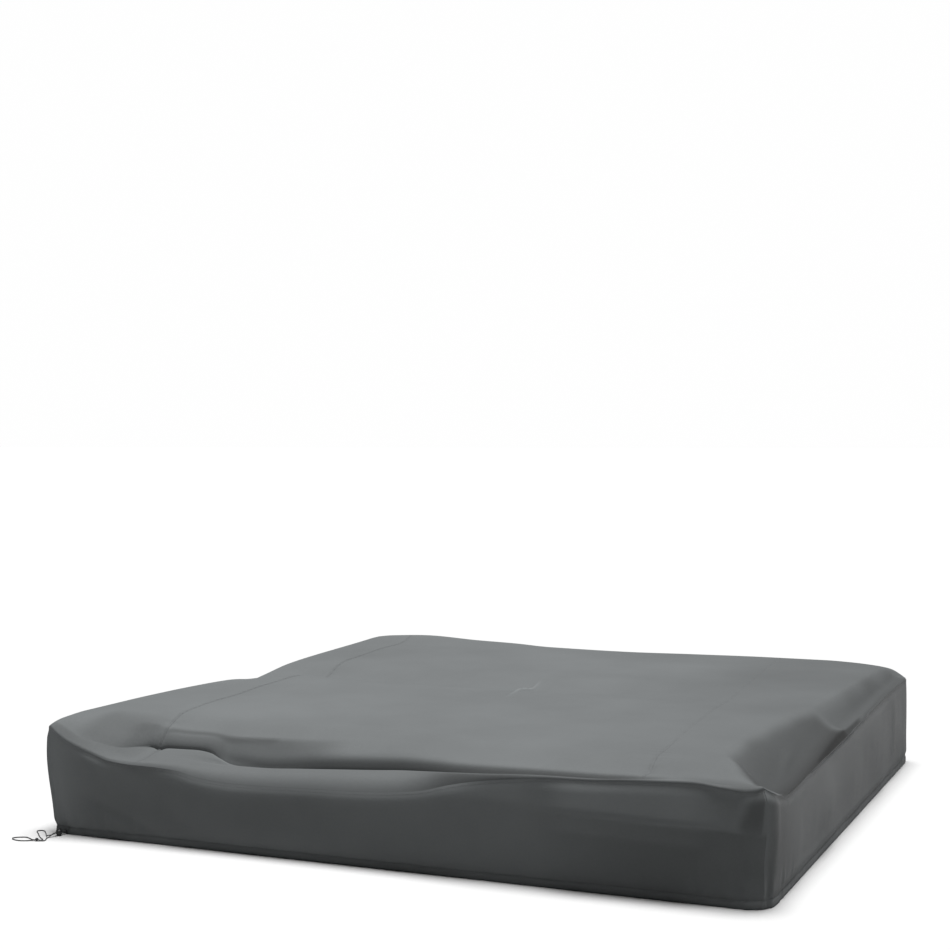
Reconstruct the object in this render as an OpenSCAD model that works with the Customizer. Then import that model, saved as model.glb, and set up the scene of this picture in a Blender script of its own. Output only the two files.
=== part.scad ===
// Soft weather cover for a square spa: a sewn fabric cap with an open bottom, drawn in at the
// hem by a cord. Millimetres, +Z up, origin on the floor under the middle of the cover.
// It has the shape it takes over a spa lid: a plateau that rises to the rear, with a slack rim.

/* [Cover] */
// Outside width and depth over the skirts
cover_w = 2130; // [1800:10:2400]
// Plan radius of the four corners, outside
corner_r = 70; // [50:1:120]
// Thickness of one layer of cover fabric
fabric_t = 1.2; // [0.8:0.1:2]

/* [Top] */
// Height of the plateau at its front edge
plateau_front_z = 330; // [310:1:345]
// Height of the plateau at its rear edge
plateau_rear_z = 352; // [330:1:358]
// Height of the plateau's rounded lip, over the gutter behind the front rim
front_lip_z = 306; // [295:1:320]
// Greatest width of the gutter between the front rim and the foot of the plateau
gutter_w = 90; // [60:5:120]
// Width of the plateau's front flank
flank_w = 80; // [50:5:120]
// Width of the slope between the left and rear rims and the plateau
side_slope_w = 180; // [100:5:240]
// Depth of the trough just inside the right rim
right_trough = 14; // [0:1:25]

/* [Top seams] */
// Width of the centre panel of the top, seam to seam
centre_panel_w = 1513; // [1300:1:1600]
// Sideways place of the centre panel's middle
centre_shift = -85; // [-120:1:120]
// Skew of the centre panel: sideways run of its seams per unit of depth
seam_skew = -0.0625; // [-0.08:0.0005:0.08]

/* [Hem] */
// Height of the drawcord hem
hem_h = 24; // [20:1:35]
// Thickness of the hem, across the channel
hem_w = 6.5; // [6:0.5:10]
// Wall of the hem around its channel
hem_wall = 1.2; // [0.8:0.1:1.6]
// Width of the seam tapes
tape_w = 22; // [15:1:30]
// Width of the rim bindings
binding_w = 14; // [10:1:20]
// Thickness of tapes and bindings
tape_t = 1; // [0.6:0.1:1.2]

/* [Cord and cord lock] */
// Diameter of the drawcord
cord_d = 3; // [2.5:0.1:3.2]
// Height of the eyelet, the cord lock's hole and the cord between them
cord_z = 9.2; // [9:0.1:12]
// Plan direction in which the cord leaves the front left corner, in degrees
exit_angle = 252; // [246:1:254]
// Distance from the hem to the middle of the cord lock
lock_reach = 27; // [25:1:30]
// Radius of the cord lock's ball
lock_r = 9.5; // [9:0.1:11]
// Radius of the cord lock's button
button_r = 4.4; // [4.2:0.1:4.8]
// Travel of the button
button_travel = 2.5; // [2:0.1:2.5]

/* [Hidden] */
$fn = 64;

fabric_colour = [0.30, 0.32, 0.32];
tape_colour = [0.16, 0.17, 0.17];
cord_colour = [0.12, 0.12, 0.12];
lock_colour = [0.06, 0.06, 0.06];

half = cover_w / 2;
corner_c = half - corner_r;      // corner arcs are centred at (+-corner_c, +-corner_c)
gap = 0.3;                       // clearance between neighbouring sewn pieces
FRONT = -1;
REAR = 1;
LEFT = -1;
RIGHT = 1;

// ---- shape of the top ----------------------------------------------------------------------
function lerp(a, b, t) = a + (b - a) * t;
function smooth(t) = let (s = min(max(t, 0), 1)) s * s * (3 - 2 * s);
function bell(d, w) = exp(-pow(d / w, 2));

// Height of the slack rim along each side, as [place along the side, height]
front_rim = [[-1065, 318], [-1000, 271], [-860, 232], [-740, 224], [-560, 204], [-430, 193], [-230, 195],
    [-80, 203], [70, 218], [190, 240], [270, 255], [360, 267], [470, 275], [600, 285], [740, 299], [870, 305],
    [950, 297], [1065, 302]];
left_rim = [[-1065, 318], [-1000, 330], [-900, 337], [-470, 335], [-250, 330], [-100, 324], [-20, 317],
    [60, 303], [140, 310], [320, 329], [500, 337], [890, 347], [1065, 352]];
rear_rim = [[-1065, 352], [-990, 358], [-830, 360], [-620, 356], [-460, 352], [-310, 344], [0, 341],
    [270, 345], [770, 348], [860, 345], [940, 338], [1000, 328], [1065, 295]];
right_rim = [[-1065, 302], [-840, 260], [-550, 271], [-210, 288], [30, 299], [280, 314], [560, 323],
    [1000, 306], [1065, 295]];
// Height of the gutter's foot line, against the plateau's front flank, as [x, height]
gutter_foot = [[-1065, 322], [-960, 290], [-860, 262], [-760, 254], [-550, 248], [-430, 236], [-270, 239],
    [-120, 250], [40, 260], [180, 269], [330, 275], [610, 284], [740, 302], [870, 306], [1065, 304]];
// Share of the gutter's width by x: it narrows to nothing towards the right
gutter_share = [[-1065, 0.95], [-100, 1], [100, 0.87], [250, 0.56], [400, 0.27], [600, 0.16], [1065, 0.14]];
// Depth and middle line of the shallow fold that crosses the top from left to right, by x
fold_depth = [[-1065, 0], [-850, 42], [-400, 30], [0, 20], [600, 12], [1065, 0]];
fold_line = [[-1065, 60], [-850, 190], [-400, 120], [1065, 90]];

function plateau_z(x, y) = lerp(plateau_front_z, plateau_rear_z, (y + half) / cover_w)
    - lookup(x, fold_depth) * bell(y - lookup(x, fold_line), 130);

// Heights of the top as each side shapes it, at a distance e from that side
function from_front(x, e, top) =
    let (rim = lookup(x, front_rim), foot = lookup(x, gutter_foot), w = gutter_w * lookup(x, gutter_share),
        past = (w + flank_w - e) / flank_w)
    e < w ? foot - (foot - rim) * pow(1 - e / w, 1.3)
    : lerp(foot + (max(front_lip_z, foot) - foot) * sqrt(1 - pow(max(past, 0), 2)), top,
        smooth((e - w - flank_w / 2) / 130));
function from_right(y, e, top) =
    let (rim = lookup(y, right_rim) - right_trough * bell(e - 45, 30) * bell(y + 450, 600))
    lerp(rim, top, smooth((e - 60) / 130));
function from_side(rim, e, top) = lerp(rim, top, smooth(e / side_slope_w));

// Height of the outer face of the top at a place in plan: the nearest side counts most
function top_z(x, y) =
    let (top = plateau_z(x, y), e = [half + y, half - x, half - y, half + x],
        z = [from_front(x, e[0], top), from_right(y, e[1], top),
            from_side(lookup(x, rear_rim), e[2], top), from_side(lookup(y, left_rim), e[3], top)],
        w = [for (d = e) 1 / pow(d + 3, 2)])
    (z * w) / (w * [1, 1, 1, 1]);

function seam_x(side, y) = centre_shift + seam_skew * y + side * centre_panel_w / 2;

// Squeezes the square corners of the grid onto the corner arcs
function rounded(x, y) =
    let (dx = abs(x) - corner_c, dy = abs(y) - corner_c)
    dx <= 0 || dy <= 0 ? [x, y]
    : let (k = max(dx, dy) / norm([dx, dy]))
        [sign(x) * (corner_c + dx * k), sign(y) * (corner_c + dy * k)];

// ---- grid lines that the top, the skirts and the bindings share -----------------------------
corner_steps = 3;
flank_top = half - gutter_w - flank_w;
flank_steps = 5;
depth_steps = 24;
side_steps = 5;
centre_steps = 16;

function run(a, b, n) = [for (i = [0 : n - 1]) lerp(a, b, i / n)];
grid_y = concat(run(-half, -corner_c, corner_steps), run(-corner_c, -flank_top, flank_steps),
    run(-flank_top, corner_c, depth_steps), run(corner_c, half, corner_steps), [half]);
function left_grid(y) = concat(run(-half, -corner_c, corner_steps),
    run(-corner_c, seam_x(LEFT, y), side_steps), [seam_x(LEFT, y)]);
function centre_grid(y) = concat(run(seam_x(LEFT, y), seam_x(RIGHT, y), centre_steps),
    [seam_x(RIGHT, y)]);
function right_grid(y) = concat(run(seam_x(RIGHT, y), corner_c, side_steps),
    run(corner_c, half, corner_steps), [half]);

// ---- solids from grids and outlines -----------------------------------------------------------
// A sheet of fabric: rows of plan points, its outer face on top_z
module top_sheet(rows) {
    n = len(rows[0]);
    m = len(rows);
    outer = [for (row = rows) for (p = row) let (q = rounded(p[0], p[1])) [q[0], q[1], top_z(p[0], p[1])]];
    inner = [for (p = outer) p - [0, 0, fabric_t]];
    k = n * m;
    tops = [for (j = [0 : m - 2]) for (i = [0 : n - 2])
        each [[j * n + i, (j + 1) * n + i, (j + 1) * n + i + 1], [j * n + i, (j + 1) * n + i + 1, j * n + i + 1]]];
    unders = [for (f = tops) [k + f[0], k + f[2], k + f[1]]];
    rim = concat([for (i = [0 : n - 1]) i], [for (j = [1 : m - 1]) j * n + n - 1],
        [for (i = [n - 2 : -1 : 0]) (m - 1) * n + i], [for (j = [m - 2 : -1 : 1]) j * n]);
    sides = [for (e = [0 : len(rim) - 1]) let (a = rim[e], b = rim[(e + 1) % len(rim)])
        each [[a, b, k + b], [a, k + b, k + a]]];
    polyhedron(concat(outer, inner), concat(tops, unders, sides), convexity = 6);
}

// A plan point moved inwards from the outside outline
function inset(p, d) =
    let (c = [min(max(p[0], -corner_c), corner_c), min(max(p[1], -corner_c), corner_c)])
    c + (p - c) * (corner_r - d) / corner_r;

// An upright wall along an outline: each entry is [plan point, top height]
module wall(line, outer_d, inner_d, bottom) {
    n = len(line);
    points = [for (e = line) let (a = inset(e[0], outer_d), b = inset(e[0], inner_d), low = bottom(e[1]))
        each [[a[0], a[1], low], [a[0], a[1], e[1]], [b[0], b[1], e[1]], [b[0], b[1], low]]];
    strips = [for (i = [0 : n - 2]) for (s = [0 : 3]) let (t = (s + 1) % 4, a = 4 * i)
        each [[a + s, a + 4 + s, a + 4 + t], [a + s, a + 4 + t, a + t]]];
    first = [[0, 1, 2], [0, 2, 3]];
    last = [for (f = first) [for (v = [2, 1, 0]) 4 * (n - 1) + f[v]]];
    polyhedron(points, concat(strips, first, last), convexity = 6);
}

// Outline of one side in counter-clockwise order: each entry is [plan point, height below the rim by drop]
function front_line(drop) = [for (x = concat(left_grid(-half), [for (i = [1 : centre_steps]) centre_grid(-half)[i]],
        [for (i = [1 : side_steps + corner_steps]) right_grid(-half)[i]]))
    [rounded(x, -half), top_z(x, -half) - drop]];
function rear_line(drop) = let (xs = concat(left_grid(half), [for (i = [1 : centre_steps]) centre_grid(half)[i]],
        [for (i = [1 : side_steps + corner_steps]) right_grid(half)[i]]))
    [for (i = [len(xs) - 1 : -1 : 0]) [rounded(xs[i], half), top_z(xs[i], half) - drop]];
function right_line(drop) = [for (y = grid_y) [rounded(half, y), top_z(half, y) - drop]];
function left_line(drop) = [for (i = [len(grid_y) - 1 : -1 : 0])
    let (y = grid_y[i]) [rounded(-half, y), top_z(-half, y) - drop]];

skirt_drop = fabric_t + 2 * gap; // the skirts stop under the top's edge
binding_drop = skirt_drop + 1.6; // the bindings stay under the top where it slopes in from its edge
module skirt(line) {
    color(fabric_colour) wall(line, 0, fabric_t, function(top) hem_h);
}
module rim_binding(line) {
    color(tape_colour) wall(line, fabric_t + gap, fabric_t + gap + tape_t, function(top) top - binding_w);
}

// ---- hem --------------------------------------------------------------------------------------
module rounded_square(d) {
    square([2 * (half - d), 2 * corner_c], center = true);
    square([2 * corner_c, 2 * (half - d)], center = true);
    for (sx = [-1, 1], sy = [-1, 1])
        translate([sx * corner_c, sy * corner_c]) circle(corner_r - d);
}

module ring(outer_d, inner_d, low, high) {
    translate([0, 0, low]) linear_extrude(high - low)
        difference() {
            rounded_square(outer_d);
            rounded_square(inner_d);
        }
}

// One side of the hem: a flat channel that meets its neighbours at the corners' middles
module hem_side(turn) {
    difference() {
        intersection() {
            ring(0, hem_w, 0, hem_h);
            rotate([0, 0, turn]) linear_extrude(hem_h)
                polygon([[0, 0], [-cover_w, -cover_w], [cover_w, -cover_w]]);
        }
        ring(hem_wall, hem_w - hem_wall, hem_wall, hem_h - hem_wall);
    }
}

// ---- cord exit at the front left corner ---------------------------------------------------------
// Places children at the exit: +Z outwards along the cord, origin on the hem's outer face
module at_exit(reach) {
    translate([-corner_c, -corner_c, cord_z]) rotate([0, 0, exit_angle])
        translate([corner_r + reach, 0, 0]) rotate([0, 90, 0]) children();
}
eyelet_r = 4.2;
flange_r = 6.5;
patch_t = 0.6;
flange_t = 0.9;

// A stretch of an upright band on a corner arc, in polar form about that corner's centre
module corner_band(sx, sy, mid_angle, spread, r_in, r_out, low, high) {
    translate([sx * corner_c, sy * corner_c, 0]) rotate([0, 0, mid_angle - spread / 2])
        rotate_extrude(angle = spread) translate([r_in, low]) square([r_out - r_in, high - low]);
}

// The tape ends under the rim bindings, where the rim is lowest over the tape's width
module corner_tape(sx, sy, mid_angle) {
    outside = corner_r - fabric_t - 2 * gap;
    near = half - 24;
    low_rim = min([for (p = [[half, half], [near, half], [half, near]]) top_z(sx * p[0], sy * p[1])]);
    color(tape_colour) corner_band(sx, sy, mid_angle, 20, outside - tape_t, outside,
        hem_h + gap, low_rim - binding_drop - binding_w - 2 * gap);
}

// ---- cord -----------------------------------------------------------------------------------------
strand_offset = 1.65;            // each strand's distance from the middle of the doubled cord
straight_reach = 42;             // the doubled cord is straight this far out of the hem
exit_dir = [cos(exit_angle), sin(exit_angle)];
side_dir = [sin(exit_angle), -cos(exit_angle)];
exit_point = [-corner_c, -corner_c] + corner_r * exit_dir;
function strand(reach, side) = let (p = exit_point + reach * exit_dir + side * strand_offset * side_dir)
    [p[0], p[1], cord_z];

// Route of the free tail: out of the eyelet, along the floor, round its end loop and back
tail_route = concat(
    [for (reach = [-4.6, 16, straight_reach]) strand(reach, 1)],
    [[-1034, -1114, 4.4], [-1035, -1123, 1.6], [-1032, -1136, 1.5], [-1025, -1149, 1.5], [-1021, -1161, 1.5],
     [-1028, -1169, 2.4], [-1041, -1171, 4.2], [-1054, -1174, 2], [-1068, -1182, 1.5], [-1084, -1188, 1.5],
     [-1101, -1187, 1.5], [-1117, -1180, 1.5], [-1125, -1170, 1.5], [-1119, -1159, 1.5], [-1107, -1151, 1.5],
     [-1095, -1147, 1.5], [-1080, -1153, 1.5], [-1066, -1161, 1.5], [-1054, -1166, 2], [-1041, -1167.5, 4.2],
     [-1032, -1164, 2.4], [-1031, -1155, 1.5], [-1038, -1147, 1.5], [-1053, -1136, 1.5], [-1072, -1118, 1.5],
     [-1092, -1096, 1.5], [-1109, -1080, 1.5], [-1115, -1069, 1.5], [-1107, -1060, 1.5], [-1092, -1066, 1.5],
     [-1070, -1089, 1.5], [-1053, -1109, 2.6], [-1041, -1120, 5.4], [-1030, -1118, 7.6]],
    [for (reach = [straight_reach, 16, -4.6]) strand(reach, -1)]);

function catmull(a, b, c, d, t) = 0.5 * (2 * b + (c - a) * t + (2 * a - 5 * b + 4 * c - d) * t * t
    + (3 * b - a - 3 * c + d) * t * t * t);
function curve(p, n) = let (last = len(p) - 1)
    concat([for (i = [0 : last - 1]) for (s = [0 : n - 1])
        catmull(p[max(i - 1, 0)], p[i], p[i + 1], p[min(i + 2, last)], s / n)], [p[last]]);
function unit(v) = v / norm(v);

// A round tube swept along points that never run straight up
module tube(path, r, sides) {
    n = len(path);
    up = [0, 0, 1];
    rings = [for (i = [0 : n - 1])
        let (t = unit(path[min(i + 1, n - 1)] - path[max(i - 1, 0)]), u = unit(cross(t, up)), v = cross(u, t))
        for (k = [0 : sides - 1]) let (a = 360 * (k + 0.5) / sides) path[i] + r * (cos(a) * u + sin(a) * v)];
    skin = [for (i = [0 : n - 2]) for (k = [0 : sides - 1])
        let (a = i * sides + k, b = i * sides + (k + 1) % sides)
        each [[a, a + sides, b + sides], [a, b + sides, b]]];
    polyhedron(rings, concat(skin, [[for (k = [0 : sides - 1]) k],
        [for (k = [sides - 1 : -1 : 0]) (n - 1) * sides + k]]), convexity = 10);
}

// ---- cord lock: its own frame has +Z up and +X along the cord, origin in the middle of the hole ---
module at_lock() {
    translate([exit_point[0], exit_point[1], cord_z] + lock_reach * [exit_dir[0], exit_dir[1], 0])
        rotate([0, 0, exit_angle]) children();
}
lock_bottom = -8.9;
lock_top = 8;
barrel_r = button_r + 0.2;
barrel_floor = -8;
hole_half_w = strand_offset + cord_d / 2 + 0.55;
hole_half_h = cord_d / 2 + 0.5;
button_bottom = -3;
button_top = 11.5;

// The flat-sided hole that the doubled cord runs through
module cord_hole(low, high) {
    translate([-2 * lock_r, -hole_half_w, low]) cube([4 * lock_r, 2 * hole_half_w, high - low]);
}

// ==== sub-parts ====================================================================================
module top_centre_panel() {
    color(fabric_colour) top_sheet([for (y = grid_y) [for (x = centre_grid(y)) [x, y]]]);
}
module top_left_panel() {
    color(fabric_colour) top_sheet([for (y = grid_y) [for (x = left_grid(y)) [x, y]]]);
}
module top_right_panel() {
    color(fabric_colour) top_sheet([for (y = grid_y) [for (x = right_grid(y)) [x, y]]]);
}
module front_skirt() { skirt(front_line(skirt_drop)); }
module rear_skirt() { skirt(rear_line(skirt_drop)); }
module left_skirt() { skirt(left_line(skirt_drop)); }
module right_skirt() { skirt(right_line(skirt_drop)); }

module front_hem() {
    color(fabric_colour) difference() {
        hem_side(0);
        at_exit(-2 * hem_wall) cylinder(r = eyelet_r + 0.7, h = 4 * hem_wall);
    }
}
module right_hem() { color(fabric_colour) hem_side(90); }
module rear_hem() { color(fabric_colour) hem_side(180); }
module left_hem() { color(fabric_colour) hem_side(270); }

module front_rim_binding() { rim_binding(front_line(binding_drop)); }
module rear_rim_binding() { rim_binding(rear_line(binding_drop)); }
module left_rim_binding() { rim_binding(left_line(binding_drop)); }
module right_rim_binding() { rim_binding(right_line(binding_drop)); }

module front_left_corner_tape() { corner_tape(LEFT, FRONT, 225); }
module front_right_corner_tape() { corner_tape(RIGHT, FRONT, 315); }
module rear_right_corner_tape() { corner_tape(RIGHT, REAR, 45); }
module rear_left_corner_tape() { corner_tape(LEFT, REAR, 135); }

// Tape under a seam of the top, stopping short of the rim bindings; it follows the panels on both sides
tape_gap = 1.5;
module top_seam_tape(side) {
    ys = [for (y = grid_y) if (abs(y) <= corner_c) y];
    points = [for (y = ys)
        let (x = seam_x(side, y), z = top_z(x, y) - fabric_t - tape_gap,
            a = side == LEFT ? left_grid(y) : centre_grid(y), b = side == LEFT ? centre_grid(y) : right_grid(y),
            before = a[len(a) - 2], after = b[1],
            rise_a = (top_z(before, y) - top_z(x, y)) * tape_w / 2 / (x - before),
            rise_b = (top_z(after, y) - top_z(x, y)) * tape_w / 2 / (after - x))
        each [[x - tape_w / 2, y, z + rise_a], [x, y, z], [x + tape_w / 2, y, z + rise_b],
            [x + tape_w / 2, y, z + rise_b - tape_t], [x, y, z - tape_t], [x - tape_w / 2, y, z + rise_a - tape_t]]];
    n = len(ys);
    strips = [for (i = [0 : n - 2]) for (s = [0 : 5]) let (t = (s + 1) % 6, a = 6 * i)
        each [[a + s, a + 6 + s, a + 6 + t], [a + s, a + 6 + t, a + t]]];
    first = [[0, 1, 4], [0, 4, 5], [1, 2, 3], [1, 3, 4]];
    last = [for (f = first) [for (v = [2, 1, 0]) 6 * (n - 1) + f[v]]];
    color(tape_colour) polyhedron(points, concat(strips, first, last), convexity = 4);
}
module left_top_seam_tape() { top_seam_tape(LEFT); }
module right_top_seam_tape() { top_seam_tape(RIGHT); }

label_w = 45;
label_h = 70;
label_t = 0.5;
module care_label() {
    color([0.85, 0.85, 0.83]) translate([half / 2, half - fabric_t - gap - label_t, hem_h + 10])
        cube([label_w, label_t, label_h]);
}

// The cord inside the hem: a ring that is open where its two ends turn out through the eyelet
module hem_drawcord() {
    channel_r = corner_r - hem_w / 2;
    opening = (strand_offset + cord_d / 2 + 0.1) / channel_r * 180 / PI;
    color(cord_colour) {
        for (turn = [0 : 90 : 270]) rotate([0, 0, turn])
            translate([-corner_c, -(corner_c + channel_r), cord_z]) rotate([0, 90, 0])
                cylinder(d = cord_d, h = 2 * corner_c);
        for (turn = [90, 180, 270]) rotate([0, 0, turn]) cord_bend(channel_r, 180, 270);
        cord_bend(channel_r, 180, exit_angle - opening);
        cord_bend(channel_r, exit_angle + opening, 270);
    }
}
module cord_bend(r, from, to) {
    translate([-corner_c, -corner_c, cord_z]) rotate([0, 0, from])
        rotate_extrude(angle = to - from) translate([r, 0]) circle(d = cord_d);
}

module eyelet_patch() {
    color(tape_colour) difference() {
        corner_band(LEFT, FRONT, exit_angle, 28, corner_r + 0.05, corner_r + patch_t, 1.5, 22);
        at_exit(-hem_wall) cylinder(r = eyelet_r + 0.7, h = 4 * hem_wall);
    }
}

module cord_eyelet() {
    color([0.2, 0.2, 0.21]) at_exit(0) rotate_extrude()
        polygon([[eyelet_r, -hem_wall], [eyelet_r + 0.6, -hem_wall], [eyelet_r + 0.6, patch_t + 0.02],
            [flange_r, patch_t + 0.02], [flange_r, patch_t + 0.5], [flange_r - 0.4, patch_t + flange_t],
            [eyelet_r + 0.4, patch_t + flange_t], [eyelet_r, patch_t + 0.5]]);
}

module tail_cord() {
    color(cord_colour) tube(curve(tail_route, 2), cord_d / 2, 8);
}

// The overhand knot in the doubled cord: two turns round both strands
module tail_knot() {
    color(cord_colour) for (side = [-1, 1])
        translate([-1041 + side * 1.6, -1169.3, 4.75]) rotate([0, 90, side * 14])
            rotate_extrude() translate([3.2, 0]) circle(r = 1.5);
}

module cord_lock_body() {
    color(lock_colour) at_lock() difference() {
        intersection() {
            sphere(lock_r);
            translate([-lock_r, -lock_r, lock_bottom]) cube([2 * lock_r, 2 * lock_r, lock_top - lock_bottom]);
        }
        translate([0, 0, barrel_floor]) cylinder(r = barrel_r, h = 3 * lock_r);
        cord_hole(-hole_half_h, hole_half_h);
    }
}

module cord_lock_button() {
    color(lock_colour) at_lock() difference() {
        union() {
            translate([0, 0, button_bottom]) cylinder(r = button_r, h = button_top - button_bottom - 0.6);
            translate([0, 0, button_top - 0.6]) cylinder(r1 = button_r, r2 = button_r - 0.6, h = 0.6);
        }
        cord_hole(-hole_half_h, hole_half_h + button_travel);
    }
}

spring_wire_r = 0.225;
spring_r = 3;
spring_turns = 4;
module cord_lock_spring() {
    low = barrel_floor + spring_wire_r + 0.05;
    high = button_bottom - spring_wire_r - 0.05;
    steps = 14 * spring_turns;
    color("silver") at_lock() tube([for (i = [0 : steps]) let (a = 360 * spring_turns * i / steps)
        [spring_r * cos(a), spring_r * sin(a), lerp(low, high, i / steps)]], spring_wire_r, 6);
}

top_centre_panel();
top_left_panel();
top_right_panel();
front_skirt();
rear_skirt();
left_skirt();
right_skirt();
front_hem();
rear_hem();
left_hem();
right_hem();
front_rim_binding();
rear_rim_binding();
left_rim_binding();
right_rim_binding();
front_left_corner_tape();
front_right_corner_tape();
rear_left_corner_tape();
rear_right_corner_tape();
left_top_seam_tape();
right_top_seam_tape();
care_label();
hem_drawcord();
eyelet_patch();
cord_eyelet();
tail_cord();
tail_knot();
cord_lock_body();
cord_lock_button();
cord_lock_spring();
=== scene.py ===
"""Looks of the spa cover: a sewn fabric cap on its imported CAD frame. Metres, +Z up, -Y is the front."""

import bmesh
import bpy
import numpy as np
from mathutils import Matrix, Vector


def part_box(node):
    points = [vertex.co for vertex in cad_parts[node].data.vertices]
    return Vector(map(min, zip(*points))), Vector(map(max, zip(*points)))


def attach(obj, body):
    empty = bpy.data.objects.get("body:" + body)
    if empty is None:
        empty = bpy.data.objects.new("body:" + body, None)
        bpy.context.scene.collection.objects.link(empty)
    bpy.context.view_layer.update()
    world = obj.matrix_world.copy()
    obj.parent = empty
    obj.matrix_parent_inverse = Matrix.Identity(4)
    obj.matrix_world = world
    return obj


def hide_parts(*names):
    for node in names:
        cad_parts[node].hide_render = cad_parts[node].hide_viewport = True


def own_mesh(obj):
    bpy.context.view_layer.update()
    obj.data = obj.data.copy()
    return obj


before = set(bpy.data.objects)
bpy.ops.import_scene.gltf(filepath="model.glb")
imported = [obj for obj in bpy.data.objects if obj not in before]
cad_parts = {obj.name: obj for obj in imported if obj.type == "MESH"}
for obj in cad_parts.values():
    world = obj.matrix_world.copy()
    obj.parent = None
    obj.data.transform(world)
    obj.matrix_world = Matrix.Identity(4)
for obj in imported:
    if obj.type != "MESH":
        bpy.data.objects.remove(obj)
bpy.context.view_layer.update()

# ---- sizes ----
R = float(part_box("top_centre_panel")[1][1])  # half the cover's width and depth
HEM_R = 0.070  # plan radius of the hem's corners
HEM_C = R - HEM_R
FABRIC_T = 0.0012
HEM_H = float(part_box("rear_hem")[1][2])
HEM_W = 0.0065
MM = 0.001

# ---- camera ----
CAMERA_AT = (2.005, -5.070, 1.141)
CAMERA_TURN, CAMERA_PITCH = np.radians(23.25), np.radians(1.07)
LENS_MM, SENSOR_MM = 63.42, 36


def link(obj):
    bpy.context.scene.collection.objects.link(obj)
    return obj


camera_data = bpy.data.cameras.new("camera")
camera_data.sensor_width = SENSOR_MM
camera_data.lens = LENS_MM
camera = link(bpy.data.objects.new("camera", camera_data))
camera.location = CAMERA_AT
camera.rotation_euler = (np.pi / 2 - CAMERA_PITCH, 0, CAMERA_TURN)
bpy.context.scene.camera = camera

# ---- curves ----
def smooth(t):
    s = np.clip(t, 0, 1)
    return s * s * (3 - 2 * s)


def bell(d, w):
    return np.exp(-((d / w) ** 2))


def window(x, a, b, soft):
    """1 between a and b, easing to 0 over soft on both sides."""
    return smooth((x - a) / soft + 0.5) * smooth((b - x) / soft + 0.5)


def profile(points):
    """A smooth curve through (place, value) points that doesn't overshoot them."""
    xs, ys = np.array(points, float).T
    h = np.diff(xs)
    d = np.diff(ys) / h
    m = np.zeros_like(ys)
    same = d[1:] * d[:-1] > 0
    m[1:-1][same] = (2 * d[1:] * d[:-1])[same] / (d[1:] + d[:-1])[same]
    m[0], m[-1] = d[0], d[-1]

    def at(x):
        x = np.clip(x, xs[0], xs[-1])
        i = np.clip(np.searchsorted(xs, x) - 1, 0, len(h) - 1)
        t = (x - xs[i]) / h[i]
        return ((1 + 2 * t) * (1 - t) ** 2 * ys[i] + t * (1 - t) ** 2 * h[i] * m[i]
                + t * t * (3 - 2 * t) * ys[i + 1] + t * t * (t - 1) * h[i] * m[i + 1])

    return at


def crease(x, y, start, end, width, depth):
    """A fold line in plan from start to end: depth is its height, negative for a valley."""
    a, b = np.array(start), np.array(end)
    ab = b - a
    length = np.hypot(*ab)
    u = ((x - a[0]) * ab[0] + (y - a[1]) * ab[1]) / length
    v = ((x - a[0]) * ab[1] - (y - a[1]) * ab[0]) / length
    t = np.clip(u / length, 0, 1)
    over = np.maximum(np.maximum(-u, u - length), 0)
    fade = np.sin(np.pi * np.clip(0.12 + 0.76 * t, 0, 1))
    return depth * fade * np.exp(-(v / width) ** 2 - (over / (0.25 * length)) ** 2)


# ---- meshes ----
MATERIALS = {}


def xyz(x, y, z):
    """Points from coordinates that broadcast against one another."""
    return np.stack(np.broadcast_arrays(x, y, z), axis=-1)


def run_along(line):
    """Distance of each point of a line from its start, along it."""
    return np.concatenate([[0], np.cumsum(np.linalg.norm(np.diff(line, axis=0), axis=1))])


def unit_rows(vectors):
    return vectors / np.linalg.norm(vectors, axis=1)[:, None]


def grid_faces(rows, cols, flip=False, close=False):
    faces = []
    for j in range(rows - 1):
        for i in range(cols if close else cols - 1):
            k = (i + 1) % cols
            f = (j * cols + i, j * cols + k, (j + 1) * cols + k, (j + 1) * cols + i)
            faces.append(f[::-1] if flip else f)
    return faces


def end_caps(count, around):
    """The two end faces of a tube of count rings with around points each."""
    return [tuple(range(around))[::-1], tuple((count - 1) * around + i for i in range(around))]


def grid_coords(along, across):
    """Flat coordinates of a grid's points, row after row."""
    return np.stack([np.repeat(along, len(across)), np.tile(across, len(along))], axis=1)


def new_mesh(name, verts, faces, materials, body="cover"):
    mesh = bpy.data.meshes.new(name)
    mesh.from_pydata([tuple(map(float, v)) for v in verts], [], [tuple(map(int, f)) for f in faces])
    mesh.validate()
    mesh.polygons.foreach_set("use_smooth", [True] * len(mesh.polygons))
    obj = link(bpy.data.objects.new(name, mesh))
    for m in materials:
        mesh.materials.append(MATERIALS[m])
    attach(obj, body)
    return obj


def flat_coords(obj, name, uv):
    """Where each point lies on the flat cloth, in metres: the weave is drawn in these."""
    layer = obj.data.attributes.new(name, "FLOAT_VECTOR", "POINT")
    full = np.zeros((len(obj.data.vertices), 3))
    full[:, :2] = uv
    layer.data.foreach_set("vector", full.ravel())


def tint(obj, name, amount):
    """A value from 0 to 1 at each point that the fabric's colour reads: painted shade darkens, painted light
    pales.
    """
    layer = obj.data.attributes.new(name, "FLOAT", "POINT")
    layer.data.foreach_set("value", np.clip(amount, 0, 1).ravel())


def apply_modifiers(obj):
    graph = bpy.context.evaluated_depsgraph_get()
    mesh = bpy.data.meshes.new_from_object(obj.evaluated_get(graph))
    old = obj.data
    obj.modifiers.clear()
    obj.data = mesh
    bpy.data.meshes.remove(old)


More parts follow.
